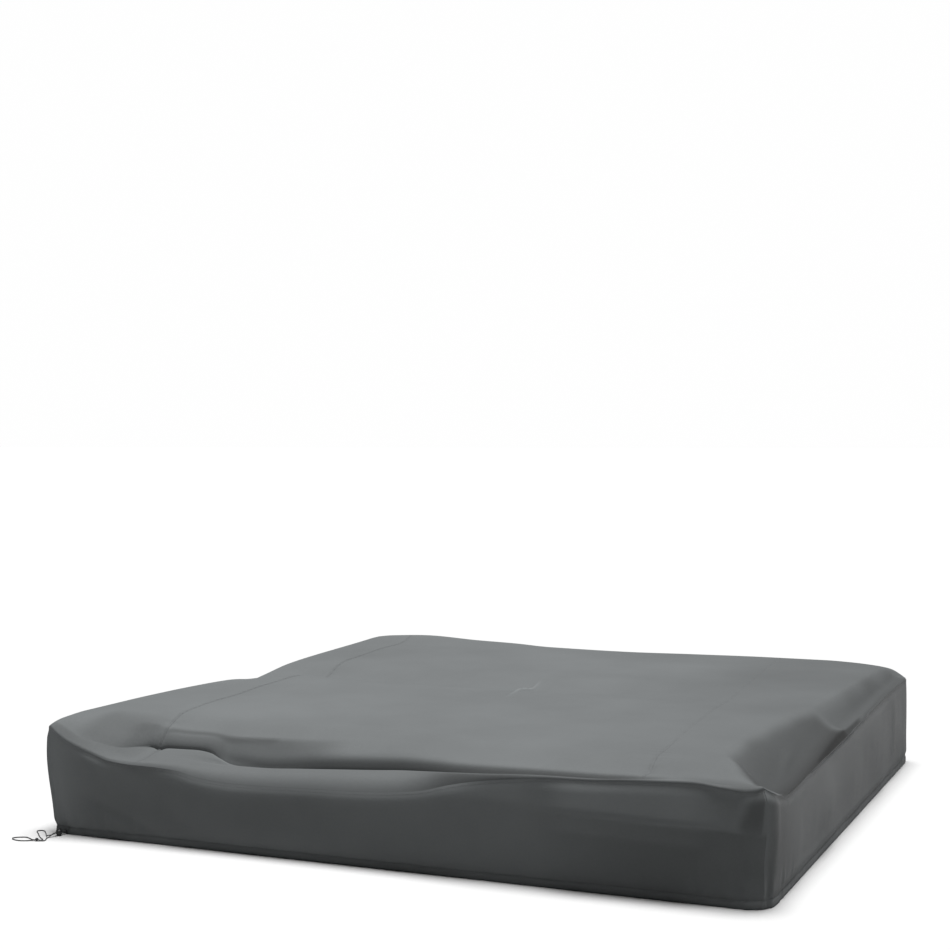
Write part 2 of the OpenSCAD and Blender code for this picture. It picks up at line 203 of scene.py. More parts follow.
def solidify(obj, thickness, inner_material=0):
    """Gives a sheet its thickness, inwards from the face that was built."""
    mod = obj.modifiers.new("thickness", "SOLIDIFY")
    mod.thickness = thickness
    mod.offset = -1.0
    mod.material_offset = inner_material
    apply_modifiers(obj)
    obj.data.set_sharp_from_angle(angle=np.radians(55))


# ---- materials ----
class Nodes:
    """A material or world node tree, with one call per node."""

    def __init__(self, tree):
        self.tree = tree
        tree.nodes.clear()

    def add(self, kind, inputs=None, **settings):
        node = self.tree.nodes.new(kind)
        for key, value in settings.items():
            setattr(node, key, value)
        for key, value in (inputs or {}).items():
            if isinstance(value, bpy.types.NodeSocket):
                self.tree.links.new(value, node.inputs[key])
            else:
                node.inputs[key].default_value = value
        return node

    def maths(self, operation, a, b=0.0):
        return self.add("ShaderNodeMath", {0: a, 1: b}, operation=operation).outputs[0]

    def mix(self, factor, a, b):
        return self.add("ShaderNodeMix", {0: factor, 6: a, 7: b}, data_type="RGBA").outputs[2]

    def remap(self, value, low, high, to_low=0.0, to_high=1.0):
        return self.add("ShaderNodeMapRange", {0: value, 1: low, 2: high, 3: to_low, 4: to_high}).outputs[0]

    def noise(self, where, scale, detail, **inputs):
        settings = {"Vector": where, "Scale": scale, "Detail": detail, **inputs}
        return self.add("ShaderNodeTexNoise", settings).outputs[0]

    def place(self):
        return self.add("ShaderNodeTexCoord").outputs["Object"]

    def vector(self, name):
        return self.add("ShaderNodeAttribute", attribute_name=name).outputs[1]

    def amount(self, name):
        return self.add("ShaderNodeAttribute", attribute_name=name).outputs[2]


def material(name):
    mat = bpy.data.materials.new(name)
    mat.use_nodes = True
    MATERIALS[name] = mat
    return Nodes(mat.node_tree)


def finish_material(n, colour, roughness, bump=None, strength=1.0, distance=0.001, **sockets):
    if bump is not None:
        bumps = {"Height": bump, "Strength": strength, "Distance": distance}
        sockets["Normal"] = n.add("ShaderNodeBump", bumps).outputs[0]
    shader = n.add("ShaderNodeBsdfPrincipled", {"Base Color": colour, "Roughness": roughness, **sockets})
    n.add("ShaderNodeOutputMaterial", {0: shader.outputs[0]})


def rgb(r, g, b):
    return (r, g, b, 1.0)


def thread_weave(n, where, pitch):
    """Height of a plain weave: warp and weft threads that pass over and under one another."""
    parts = n.add("ShaderNodeSeparateXYZ", {0: where}).outputs
    x, y = (n.maths("MULTIPLY", parts[axis], 2 * np.pi / pitch) for axis in (0, 1))
    across, along = (n.maths("ABSOLUTE", n.maths("SINE", a)) for a in (x, y))
    over = n.maths("MULTIPLY", *(n.maths("SINE", n.maths("MULTIPLY", a, 0.5)) for a in (x, y)))
    side = n.remap(over, -0.4, 0.4)
    return n.add("ShaderNodeMix", {0: side, 2: across, 3: along}, data_type="FLOAT").outputs[0]


def make_fabric(name, colour, pitch, roughness, sheen, weave_strength):
    n = material(name)
    where = n.vector("flat")
    weave = thread_weave(n, where, pitch)
    broad = n.noise(n.place(), 2.3, 4.0, Roughness=0.55)
    fine = n.noise(where, 900.0, 2.0)
    slub = n.noise(where, 140.0, 3.0)
    dark, light, weave_hollow_shade, fibre, shade_colour, highlight_colour = (rgb(*(c * share for c in colour))
                                              for share in (0.90, 1.09, 0.55, 1.5, 0.10, 2.1))
    tone = n.mix(n.remap(broad, 0.3, 0.7), dark, light)
    # painted shade: darker in the weave's hollows, between the threads
    tone = n.mix(n.remap(weave, 0.0, 0.35, 0.30, 0.0), tone, weave_hollow_shade)
    tone = n.mix(n.remap(fine, 0.35, 0.65, 0.0, 0.14), tone, fibre)
    # painted shade, from a value stored on the mesh
    tone = n.mix(n.amount("painted_shade"), tone, shade_colour)
    # painted light, from a value stored on the mesh
    tone = n.mix(n.amount("painted_light"), tone, highlight_colour)
    rough = n.remap(slub, 0.3, 0.7, roughness - 0.05, roughness + 0.06)
    height = n.maths("ADD", n.maths("MULTIPLY", weave, 0.8), n.maths("MULTIPLY", slub, 0.5))
    finish_material(n, tone, rough, height, weave_strength, 0.0003,
                    **{"Sheen Weight": sheen, "Sheen Roughness": 0.45, "Specular IOR Level": 0.28})


COVER_GREY = (0.0860, 0.0918, 0.0935)
make_fabric("cover_fabric", COVER_GREY, 0.0011, 0.78, 0.06, 0.55)
make_fabric("hem_fabric", COVER_GREY, 0.0011, 0.80, 0.05, 0.55)
make_fabric("binding_tape", (0.060, 0.064, 0.066), 0.0016, 0.80, 0.15, 0.8)

n = material("cover_backing")  # the coated inside of the fabric
grain = n.noise(n.place(), 700.0, 3.0)
cloud = n.remap(n.noise(n.place(), 6.0, 4.0), 0.3, 0.7)
finish_material(n, n.mix(cloud, rgb(0.115, 0.118, 0.12), rgb(0.15, 0.153, 0.155)),
                n.remap(grain, 0.3, 0.7, 0.42, 0.55), grain, 0.35, 0.0002, **{"Specular IOR Level": 0.4})

n = material("thread")
twist = n.noise(n.place(), 1500.0, 2.0)
finish_material(n, n.mix(n.remap(twist, 0.35, 0.65), rgb(0.050, 0.054, 0.056), rgb(0.085, 0.090, 0.093)),
                0.6, twist, 0.5, 0.0002, **{"Sheen Weight": 0.2})

BRAID_LAY, BRAID_STARTS = 0.0034, 4
n = material("cord_braid")
parts = n.add("ShaderNodeSeparateXYZ", {0: n.vector("braid")}).outputs
lay = n.maths("MULTIPLY", parts[0], 2 * np.pi / BRAID_LAY)
turn = n.maths("MULTIPLY", parts[1], 2 * np.pi * BRAID_STARTS)
strands = n.maths("MAXIMUM", *(n.maths("SINE", n.maths(hand, lay, turn)) for hand in ("ADD", "SUBTRACT")))
fibre = n.noise(n.place(), 2600.0, 2.0)
# painted shade: the grooves between the strands are darkened
finish_material(n, n.mix(n.remap(strands, -0.4, 0.9), rgb(0.008, 0.008, 0.009),
                         n.mix(fibre, rgb(0.020, 0.021, 0.022), rgb(0.045, 0.046, 0.048))),
                n.remap(fibre, 0.3, 0.7, 0.62, 0.82), n.maths("ADD", strands, fibre), 0.5, 0.0002,
                **{"Sheen Weight": 0.25, "Sheen Roughness": 0.4})

n = material("lock_plastic")
pebble = n.add("ShaderNodeTexVoronoi", {"Vector": n.place(), "Scale": 1700.0}).outputs[0]
wear_and_painted_light = n.noise(n.place(), 260.0, 5.0)
edge = n.remap(n.add("ShaderNodeNewGeometry").outputs["Pointiness"], 0.52, 0.62, 0.0, 0.6)
worn_edge = n.maths("MULTIPLY", edge, n.remap(wear_and_painted_light, 0.45, 0.65))
finish_material(n, n.mix(worn_edge, rgb(0.012, 0.012, 0.013), rgb(0.06, 0.06, 0.062)),
                n.remap(wear_and_painted_light, 0.3, 0.7, 0.36, 0.52), pebble, 0.12, 0.0002, **{"Specular IOR Level": 0.5})

n = material("spring_steel")
draw = n.noise(n.place(), 3000.0, 2.0)
finish_material(n, rgb(0.55, 0.55, 0.54), n.remap(draw, 0.3, 0.7, 0.22, 0.38), draw, 0.15, 0.0001,
                Metallic=1.0)

n = material("eyelet")
scuff = n.noise(n.place(), 800.0, 5.0)
finish_material(n, n.mix(n.remap(scuff, 0.4, 0.7), rgb(0.10, 0.10, 0.105), rgb(0.22, 0.22, 0.225)),
                n.remap(scuff, 0.3, 0.7, 0.28, 0.45), scuff, 0.2, 0.0001, Metallic=0.9)

n = material("label")
weave = thread_weave(n, n.vector("flat"), 0.0008)
# painted shade: darker in the weave's hollows, between the threads
finish_material(n, n.mix(n.remap(weave, 0.0, 0.5), rgb(0.55, 0.55, 0.53), rgb(0.72, 0.72, 0.70)),
                0.55, weave, 0.4, 0.0002, **{"Sheen Weight": 0.3})

n = material("floor")
finish_material(n, rgb(0.447, 0.447, 0.447), 0.9, **{"Specular IOR Level": 0.0})

# ---- the tail cord ----
CORD_D = 0.003
CORD_Z = 0.0092
EXIT_ANGLE = np.radians(252)
EXIT_DIR = np.array([np.cos(EXIT_ANGLE), np.sin(EXIT_ANGLE)])
SIDE_DIR = np.array([np.sin(EXIT_ANGLE), -np.cos(EXIT_ANGLE)])
EXIT_POINT = np.array([-HEM_C, -HEM_C]) + HEM_R * EXIT_DIR
EXIT_AT = np.array([*EXIT_POINT, CORD_Z])
STRAND_OFFSET = 0.00165
STRAIGHT = (-0.0046, 0.016, 0.042)  # reaches from the eyelet that both strands run straight through


def strand(reach, side):
    p = EXIT_POINT + reach * EXIT_DIR + side * STRAND_OFFSET * SIDE_DIR
    return [p[0], p[1], CORD_Z]


ROUTE_MM = [
    [-1034, -1114, 4.4], [-1035, -1123, 1.6], [-1032, -1136, 1.5], [-1025, -1149, 1.5], [-1021, -1161, 1.5],
    [-1028, -1169, 2.4], [-1041, -1171, 4.2], [-1054, -1174, 2], [-1068, -1182, 1.5], [-1084, -1188, 1.5],
    [-1101, -1187, 1.5], [-1117, -1180, 1.5], [-1125, -1170, 1.5], [-1119, -1159, 1.5], [-1107, -1151, 1.5],
    [-1095, -1147, 1.5], [-1080, -1153, 1.5], [-1066, -1161, 1.5], [-1054, -1166, 2], [-1041, -1167.5, 4.2],
    [-1032, -1164, 2.4], [-1031, -1155, 1.5], [-1038, -1147, 1.5], [-1053, -1136, 1.5], [-1072, -1118, 1.5],
    [-1092, -1096, 1.5], [-1109, -1080, 1.5], [-1115, -1069, 1.5], [-1107, -1060, 1.5], [-1092, -1066, 1.5],
    [-1070, -1089, 1.5], [-1053, -1109, 2.6], [-1041, -1120, 5.4], [-1030, -1118, 7.6]]
ROUTE = ([strand(r, 1) for r in STRAIGHT] + [[c * MM for c in p] for p in ROUTE_MM]
         + [strand(r, -1) for r in STRAIGHT[::-1]])


def catmull(points, steps):
    """A smooth line through points, with steps pieces between each two."""
    p = np.array(points, float)
    out = []
    for i in range(len(p) - 1):
        a, b, c, d = p[max(i - 1, 0)], p[i], p[i + 1], p[min(i + 2, len(p) - 1)]
        for t in np.arange(steps) / steps:
            out.append(0.5 * (2 * b + (c - a) * t + (2 * a - 5 * b + 4 * c - d) * t * t
                              + (3 * b - a - 3 * c + d) * t ** 3))
    return np.array(out + [p[-1]])


def even(points, pitch, closed):
    """The same line with points an even pitch apart, and its length."""
    p = np.vstack([points, points[:1]]) if closed else np.array(points)
    run = run_along(p)
    count = max(int(round(run[-1] / pitch)), 3)
    at = np.linspace(0, run[-1], count + 1)
    line = np.stack([np.interp(at, run, p[:, k]) for k in range(3)], axis=1)
    return (line[:-1] if closed else line), run[-1]


def braided_tube(name, points, radius, pitch, closed=False, sides=16):
    """A round braided cord along points: its strands stand out in relief."""
    line, length = even(points, pitch, closed)
    count = len(line)
    tangent = unit_rows(np.roll(line, -1, 0) - np.roll(line, 1, 0) if closed else np.gradient(line, axis=0))
    u = unit_rows(np.cross(tangent, [0, 0, 1.0]))
    v = np.cross(u, tangent)
    a = 2 * np.pi * np.arange(sides) / sides
    s = np.arange(count) * (length / count)
    lay, wrap = 2 * np.pi * s[:, None] / BRAID_LAY, BRAID_STARTS * a
    relief = np.maximum(np.sin(lay + wrap), np.sin(lay - wrap))
    r = radius * (0.97 + 0.05 * relief)[:, :, None]
    verts = line[:, None] + r * (np.cos(a)[:, None] * u[:, None] + np.sin(a)[:, None] * v[:, None])
    faces = grid_faces(count, sides, close=True)
    if closed:
        last = (count - 1) * sides
        faces += [(last + i, last + (i + 1) % sides, (i + 1) % sides, i) for i in range(sides)]
    else:
        faces += end_caps(count, sides)
    obj = new_mesh(name, verts.reshape(-1, 3), faces, ["cord_braid"])
    flat_coords(obj, "braid", grid_coords(s, a / (2 * np.pi)))
    return obj


cord_line = catmull(ROUTE, 8)
tail = braided_tube("tail_drawcord", cord_line, CORD_D / 2, 0.0007)
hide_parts("tail_cord")

KNOT_AT = np.array([-1.041, -1.1693, 0.00475])
KNOT_R, KNOT_LEAN = 0.0032, np.radians(14)


def knot_turn(side):
    """One turn of the overhand knot round both strands, leaning across them."""
    a = np.linspace(0, 2 * np.pi, 40, endpoint=False)
    y, z = KNOT_R * np.cos(a), KNOT_R * np.sin(a)
    x = side * (0.0016 + 0.0007 * np.sin(a) + np.tan(KNOT_LEAN) * y)
    return KNOT_AT + xyz(x, y, z)


for side, tag in ((-1, "a"), (1, "b")):
    piece = braided_tube("knot_turn_" + tag, knot_turn(side), CORD_D / 2 - 0.0001, 0.0006, closed=True)
    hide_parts("tail_knot")

# ---- shape of the top ----
front_rim = profile([
    (-1.065, .318), (-1.0, .276), (-.93, .249), (-.86, .231), (-.79, .228), (-.73, .229), (-.65, .227),
    (-.56, .216), (-.46, .213), (-.37, .214), (-.24, .218), (-.10, .222), (0, .227), (.12, .237),
    (.21, .256), (.29, .270), (.36, .278), (.47, .286), (.6, .290), (.74, .299), (.87, .304), (.95, .297),
    (1.0, .293), (1.065, .302)])
left_rim = profile([
    (-1.065, .318), (-1.0, .330), (-.9, .337), (-.67, .337), (-.47, .335), (-.25, .330), (-.10, .324),
    (-.02, .317), (.06, .303), (.14, .310), (.32, .329), (.5, .337), (.69, .342), (.89, .347),
    (1.065, .353)])
rear_rim = profile([
    (-1.065, .353), (-.99, .360), (-.83, .367), (-.62, .357), (-.46, .352), (-.31, .344), (0, .341),
    (.27, .345), (.55, .348), (.77, .348), (.86, .345), (.94, .339), (1.0, .330), (1.065, .299)])
right_rim = profile([
    (-1.065, .302), (-.95, .268), (-.84, .254), (-.55, .266), (-.21, .278), (.03, .284), (.28, .292),
    (.5, .298), (.75, .303), (1.0, .304), (1.065, .298)])
gutter_foot = profile([
    (-1.065, .322), (-.97, .278), (-.90, .254), (-.86, .241), (-.81, .227), (-.755, .232), (-.70, .237),
    (-.65, .240), (-.60, .239), (-.56, .235), (-.51, .229), (-.41, .227), (-.28, .236), (-.14, .246),
    (.03, .258), (.12, .267), (.21, .278), (.33, .286), (.47, .292), (.61, .294), (.74, .303), (.87, .307),
    (.94, .300), (1.065, .304)])
gutter_width = profile([
    (-1.065, .03), (-.97, .03), (-.88, .06), (-.83, .12), (-.80, .135), (-.65, .135), (-.60, .125),
    (-.56, .105), (-.51, .09), (-.41, .085), (.0, .085), (.12, .058), (.21, .028), (.33, .016),
    (1.065, .012)])
lip_height = profile([
    (-1.065, .322), (-.97, .315), (-.88, .305), (-.80, .290), (-.755, .281), (-.65, .283), (-.55, .286),
    (-.45, .289), (-.3, .297), (-.1, .304), (.1, .306), (1.065, .306)])
flank_width = profile([
    (-1.065, .10), (-.95, .13), (-.88, .10), (-.80, .045), (-.65, .045), (-.55, .045), (-.45, .055),
    (-.3, .060), (-.1, .080), (1.065, .080)])
# 0 for a plane, 1 for a round flank
flank_bulge = profile([
    (-1.065, 0), (-.86, 0), (-.78, .7), (-.62, .7), (-.54, .1), (-.4, .12), (-.15, .8), (.2, 1),
    (1.065, 1)])
fold_depth = profile([
    (-1.065, 0), (-.98, .018), (-.85, .044), (-.6, .036), (-.4, .030), (0, .020), (.6, .012), (1.065, 0)])
fold_line = profile([
    (-1.065, .06), (-.85, .19), (-.6, .15), (-.4, .12), (1.065, .09)])
plateau = profile([
    (-1.065, .330), (-.85, .333), (-.6, .339), (-.4, .342), (-.2, .343), (.1, .343), (.45, .346),
    (.71, .350), (.9, .347), (1.065, .345)])
# the plateau's right edge, as its distance from the rim, and the trough's depth under the rim
right_edge = profile([
    (-1.065, .10), (-.95, .12), (-.75, .190), (-.64, .178), (-.45, .172), (-.26, .155), (-.06, .130),
    (.2, .11), (.5, .09), (1.065, .07)])
right_trough = profile([
    (-1.065, 0), (-.95, .006), (-.8, .024), (-.6, .034), (-.4, .026), (-.2, .010), (-.03, .002),
    (.06, .014), (.2, .018), (.4, .014), (.6, .008), (.85, .004), (1.065, 0)])

CENTRE_HALF = 0.7565
CENTRE_SHIFT = -0.085
SEAM_SKEW = -0.0625
LEFT, RIGHT = -1, 1


def seam_x(side, y):
    return CENTRE_SHIFT + SEAM_SKEW * y + side * CENTRE_HALF


def slit_open(y):
    """Where the cloth folds down out of sight behind the right rim: widest at the front of the pleat."""
    return np.maximum(window(y, -0.40, 0.02, 0.10), 0.55 * window(y, -0.62, 0.26, 0.12))


def seam_stands(side, y):
    """How far the felled seam stands up: it is pressed flat on the band and along most of the right."""
    front = smooth((R + y - 0.08) / 0.06)
    return 0.3 + 0.7 * (front if side == LEFT else smooth((R + y) / 0.04) * smooth((-0.62 - y) / 0.25))


def waves(x, y, scale, seed):
    """Gentle unevenness of slack cloth, between -1 and 1."""
    rng = np.random.RandomState(seed)
    total = np.zeros(np.broadcast(x, y).shape)
    for _ in range(7):
        turn = rng.uniform(0, np.pi)
        k = 2 * np.pi / (scale * rng.uniform(0.6, 1.5))
        total = total + np.sin(k * (x * np.cos(turn) + y * np.sin(turn)) + rng.uniform(0, 2 * np.pi))
    return total / 4


def top_z(x, y):
    """Height of the outer face of the top at a place in plan."""
    top = plateau(y) - fold_depth(x) * bell(y - fold_line(x), 0.125)
    ef, er, eb, el = R + y, R - x, R - y, R + x

    rim, foot = front_rim(x), gutter_foot(x)
    lip = np.maximum(lip_height(x), foot)
    gutter = gutter_width(x)
    band = foot - (foot - rim) * np.clip(1 - ef / gutter, 0, 1) ** 1.3
    flank_w, bulge = flank_width(x), flank_bulge(x)
    past = np.clip((gutter + flank_w - ef) / flank_w, 0, 1)
    flank = foot + (lip - foot) * (bulge * np.sqrt(1 - past ** 2) + (1 - bulge) * (1 - past))
    flank = flank + (top - flank) * smooth((ef - gutter - flank_w / 2) / 0.13)
    zf = np.where(ef < gutter, band, flank)
    zf = zf - 0.010 * bell(ef - gutter - 0.003, 0.008) * window(x, -0.52, 0.80, 0.20)

    rim = right_rim(y)
    behind = rim - right_trough(y) * smooth(er / 0.025)
    climb = smooth((er - 0.03) / (1.12 * right_edge(y) - 0.03)) ** 1.25
    slit = 0.045 * bell(er - 0.013, 0.009) * slit_open(y)
    zr = behind + (top - behind) * climb - slit
    zb = rear_rim(x) + (top - rear_rim(x)) * smooth(eb / 0.16)
    zl = left_rim(y) + (top - left_rim(y)) * smooth(el / 0.19)

    w = [1 / (e + 0.003) ** 2 for e in (ef, er, eb, el)]
    z = sum(a * b for a, b in zip(w, (zf, zr, zb, zl))) / sum(w)
    edge = np.minimum(np.minimum(ef, er), np.minimum(eb, el))
    inside = smooth((edge - 0.01) / 0.12)
    z = z + inside * (0.0022 * waves(x, y, 0.55, 3) + 0.0008 * waves(x, 0.6 * y, 0.16, 8))

    # the seams lie a little low, and pucker at their front ends
    for side, deep in ((LEFT, 0.0035), (RIGHT, 0.0003 + 0.0016 * smooth((-0.35 - y) / 0.3))):
        d = x - seam_x(side, y)
        z = z - deep * bell(d, 0.016) * smooth((edge - 0.01) / 0.05)
        z = z + 0.0007 * bell(d, 0.03) * np.sin(2 * np.pi * y / 0.037) * inside * seam_stands(side, y)
    z = z - 0.007 * bell(x - seam_x(LEFT, y), 0.020) * bell(ef - 0.150, 0.022)
    z = z - 0.005 * bell(x - seam_x(RIGHT, y), 0.018) * bell(ef - 0.075, 0.030)

    # a pinched crease in the middle, and soft dents behind the front left corner
    z = z + crease(x, y, (0.010, -0.11), (-0.018, 0.14), 0.007, 0.011)
    z = z - crease(x, y, (-0.014, -0.10), (-0.036, 0.12), 0.012, 0.005)
    z = z - 0.008 * bell(np.hypot((x + 0.90) / 0.07, (y + 0.92) / 0.07), 1.0)
    z = z - crease(x, y, (-0.66, -0.988), (-0.48, -0.985), 0.010, 0.008)
    z = z + crease(x, y, (0.985, -0.62), (0.965, -0.40), 0.014, 0.003)
    return z


# ---- plan grid: the panels and the skirts share its lines ----
def spaced(length, start_steps, end_steps, pitch):
    """0..1 along a length: fine steps at both ends, an even pitch between."""
    a, b = np.cumsum(start_steps), np.cumsum(end_steps[::-1])
    low = a[-1] if len(a) else 0
    high = length - (b[-1] if len(b) else 0)
    middle = np.linspace(low, high, max(int(round((high - low) / pitch)), 1) + 1)
    ends = sorted(length - s for s in list(b[:-1]) + [0.0]) if len(b) else []
    return np.array(([0.0] + list(a[:-1]) if len(a) else []) + list(middle) + list(ends)) / length


EDGE_STEPS = [0.003, 0.004, 0.005, 0.006] + [0.0075] * 10
SEAM_STEPS = [0.003, 0.003, 0.004, 0.005, 0.007, 0.009]
T_LEFT = spaced(0.22, EDGE_STEPS, SEAM_STEPS[::-1], 0.009)
T_CENTRE = spaced(2 * CENTRE_HALF, SEAM_STEPS, SEAM_STEPS[::-1], 0.0145)
crease_lines = (np.arange(-0.052, 0.0401, 0.004) - CENTRE_SHIFT + CENTRE_HALF) / (2 * CENTRE_HALF)
clear = (T_CENTRE < crease_lines[0] - 0.003) | (T_CENTRE > crease_lines[-1] + 0.003)
T_CENTRE = np.sort(np.concatenate([T_CENTRE[clear], crease_lines]))
T_RIGHT = spaced(0.39, SEAM_STEPS, EDGE_STEPS[::-1], 0.009)
FOOT_ROW, FRONT_BAND = 0.085, 0.24
FOOT_STEPS = [0.002, 0.002, 0.003, 0.003, 0.004, 0.005]
Y_LINES = np.concatenate([-R + FOOT_ROW * spaced(FOOT_ROW, EDGE_STEPS[:5], FOOT_STEPS[::-1], 0.0075)[:-1],
                          -R + FOOT_ROW + (FRONT_BAND - FOOT_ROW)
                          * spaced(FRONT_BAND - FOOT_ROW, FOOT_STEPS, [], 0.0065)[:-1],
                          np.linspace(-R + FRONT_BAND, R - 0.15, 118)[:-1],
                          R - 0.15 * spaced(0.15, EDGE_STEPS[:6], [], 0.0095)[::-1]])


def columns(panel, y):
    if panel == "left":
        return -R + (seam_x(LEFT, y) + R) * T_LEFT
    if panel == "centre":
        return seam_x(LEFT, y) + 2 * CENTRE_HALF * T_CENTRE
    return seam_x(RIGHT, y) + (R - seam_x(RIGHT, y)) * T_RIGHT


def follow_gutter(x, y):
    """Slides the front rows of the grid so that one of them runs along the gutter's foot."""
    e, g = y + R, gutter_width(x)
    near = e * g / FOOT_ROW
    far = g + (e - FOOT_ROW) * (FRONT_BAND - g) / (FRONT_BAND - FOOT_ROW)
    return np.where(e < FRONT_BAND, np.where(e < FOOT_ROW, near, far), e) - R


def panel_grid(panel):
    x = np.array([columns(panel, y) for y in Y_LINES])
    for _ in range(3):
        y = follow_gutter(x, Y_LINES[:, None])
        x = columns(panel, y)
    return x, y


def rounded(x, y, keep=1.0):
    """Squeezes the plan's square corners onto arcs of the hem's radius: keep is 0 for a square corner."""
    dx, dy = np.abs(x) - HEM_C, np.abs(y) - HEM_C
    corner = (dx > 0) & (dy > 0)
    dx, dy = np.where(corner, dx, 1.0), np.where(corner, dy, 1.0)
    k = 1 + keep * (np.maximum(dx, dy) / np.hypot(dx, dy) - 1)
    return tuple(np.where(corner, np.sign(a) * (HEM_C + d * k), a) for a, d in ((x, dx), (y, dy)))


def by_corner(x, y, front_left, front_right, rear_right, rear_left):
    return np.where(y < 0, np.where(x < 0, front_left, front_right), np.where(x < 0, rear_left, rear_right))


def top_keep(x, y):
    """How round the corners are at the rim."""
    return by_corner(x, y, 0.16, 1.0, 0.25, 0.35)


EXIT_S = HEM_R - HEM_R * abs(EXIT_DIR[0] / EXIT_DIR[1])  # the eyelet's place from the front left corner


def at_eyelet(s):
    """1 at the eyelet, where the cord holds the hem to its round line, easing to 0."""
    return smooth((0.036 - np.abs(s - EXIT_S)) / 0.028)


def hem_keep(x, y):
    """How round the corners are at the hem."""
    keep = by_corner(x, y, 0.42, 1.0, 0.30, 0.60)
    return keep + (1 - keep) * at_eyelet(perimeter(x, y))


# how far the front rim rolls over: softly in its slack stretch, crisply elsewhere
front_roll = profile([
    (-1.065, .004), (-.92, .005), (-.80, .008), (-.66, .016), (-.56, .028), (-.45, .036), (-.05, .036),
    (.12, .030), (.24, .020), (.35, .010), (.5, .004), (1.065, .005)])
SLACK_TURN = 0.85  # sine of the angle that the soft roll has reached at the rim
RIM_FOLD = 0.004  # radius of the fold at the other rims


def slack(x):
    """1 along the front's slack stretch, whose soft roll goes on into the skirt."""
    return smooth((front_roll(x) - 0.008) / 0.016)


FRONT_LEFT_LEAN = 0.012  # m that the front left corner stands out over the hem


def roll_drop(t, turn=1.0):
    """Drop of a rim that rolls over, as a share of its radius: t is 0 at the rim and 1 where it is flat."""
    return 1 - np.sqrt(np.clip(1 - (turn * (1 - np.clip(t, 0, 1))) ** 2, 0, 1))


def front_left_lean(x, y):
    return FRONT_LEFT_LEAN * bell(np.hypot(x + R, y + R), 0.10)


def top_point(x, y):
    """A point of the top's outer face above a place on the square plan grid."""
    z = top_z(x, y)
    roll = front_roll(x)
    turn = 1 - (1 - SLACK_TURN) * slack(x)
    z = z - np.where(R + y < roll, roll / turn * roll_drop((R + y) / roll, turn), 0)
    for e in (R - x, R - y, R + x):
        z = z - RIM_FOLD * roll_drop(e / RIM_FOLD)
    px, py = rounded(x, y, top_keep(x, y))
    lean = front_left_lean(x, y)
    return xyz(px - lean, py - lean * 0.6, z)


# ---- shape of the skirts ----
def perimeter(px, py):
    """Distance round the square outline, from its front left corner, counter-clockwise."""
    return np.where(py <= -R + 1e-9, px + R, np.where(px >= R - 1e-9, 2 * R + py + R,
                    np.where(py >= R - 1e-9, 4 * R + R - px, 6 * R + R - py)))


def gathers(s):
    """Small folds that the drawcord pulls into the hem, between about -1 and 1."""
    w = 2 * np.pi * s / (8 * R)
    return (np.sin(173 * w + 0.4) * (0.55 + 0.35 * np.sin(9 * w)) + 0.5 * np.sin(251 * w + 2.1)
            + 0.35 * np.sin(97 * w + 1.0) * (0.5 + 0.5 * np.sin(5 * w + 1)))


def corner_distance(s):
    return np.abs((s + R) % (2 * R) - R)


def hem_ripple(s):
    """How far the gathered hem stands in or out, nothing at the eyelet."""
    near_corner = 0.5 + 0.9 * bell(corner_distance(s), 0.22)
    return 0.0009 * gathers(s) * near_corner * (1 - bell(s - EXIT_S, 0.045))


def swell(px, py, h, z):
    """Outward displacement of a skirt: h is 0 at the rim and 1 at the hem."""
    s = perimeter(px, py)
    front = py <= -R + 1e-9
    right = (px >= R - 1e-9) & ~front
    left = px <= -R + 1e-9
    cd = corner_distance(s)
    ease = smooth(cd / 0.16)
    arch = np.sin(np.pi * np.clip(h, 0, 1))
    out = 0.007 * arch ** 0.8 * (0.35 + 0.65 * ease)
    out = out + 0.0030 * waves(s, z * 1.4, 0.50, 21) * arch * ease
    out = out + 0.0007 * waves(s, z * 0.35, 0.13, 22) * smooth(h * 2) * arch * ease
    pull = np.clip(1 - (z - HEM_H) / 0.11, 0, 1) ** 2.2
    out = out + 0.0024 * gathers(s) * pull * (0.45 + 1.1 * bell(cd, 0.25)) * smooth((z - HEM_H) / 0.018)
    # front: the upper part hangs out over a crease that crosses it at its right end
    over = z - (0.206 - 0.02 * (px - 0.7))
    fold = np.clip(1 - np.sqrt(over ** 2 + 0.003 ** 2) / np.where(over > 0, 0.095, 0.06), 0, 1)
    out = out + front * window(px, 0.50, 0.92, 0.14) * 0.016 * fold
    # front right corner: slack cloth folds in on the front side and stands out past it
    folded_in = front * corner_slack(px + 0.022 * bell(z - 0.20, 0.06))
    stands_out = right * 0.012 * bell(s - 2 * R, 0.07)
    out = out + (folded_in + stands_out) * window(z, 0.15, 0.36, 0.10)
    # right: light vertical folds near the rear corner
    lean = s - 2 * R - R - 0.35 * (z - 0.15)
    for place, wide, tall in ((0.50, 0.060, 0.002), (0.72, 0.030, 0.0035), (0.88, 0.045, -0.002)):
        out = out + right * tall * bell(lean - place, wide) * arch
    # front left corner: two slanting folds from the rim's corner towards the drawcord
    slant = px + R - 0.10 - 0.55 * (0.30 - z)
    out = out + front * 0.004 * bell(slant, 0.035) * window(z, 0.04, 0.26, 0.08)
    slant = px + R - 0.26 - 0.9 * (0.26 - z)
    out = out - front * 0.0035 * bell(slant, 0.05) * window(z, 0.05, 0.22, 0.08)
    # left: it bellies out behind the front corner
    out = out + left * 0.010 * bell(cd - 0.10, 0.16) * arch ** 0.4
    # under the slack stretch of the front rim the roll goes on outwards
    depth = top_point(px, py)[..., 2] - z
    below = front * slack(px) * 0.009 * (1 - np.exp(-np.clip(depth, 0, 1) / 0.016)) * (1 - h)
    return out * smooth(h / 0.10) + below


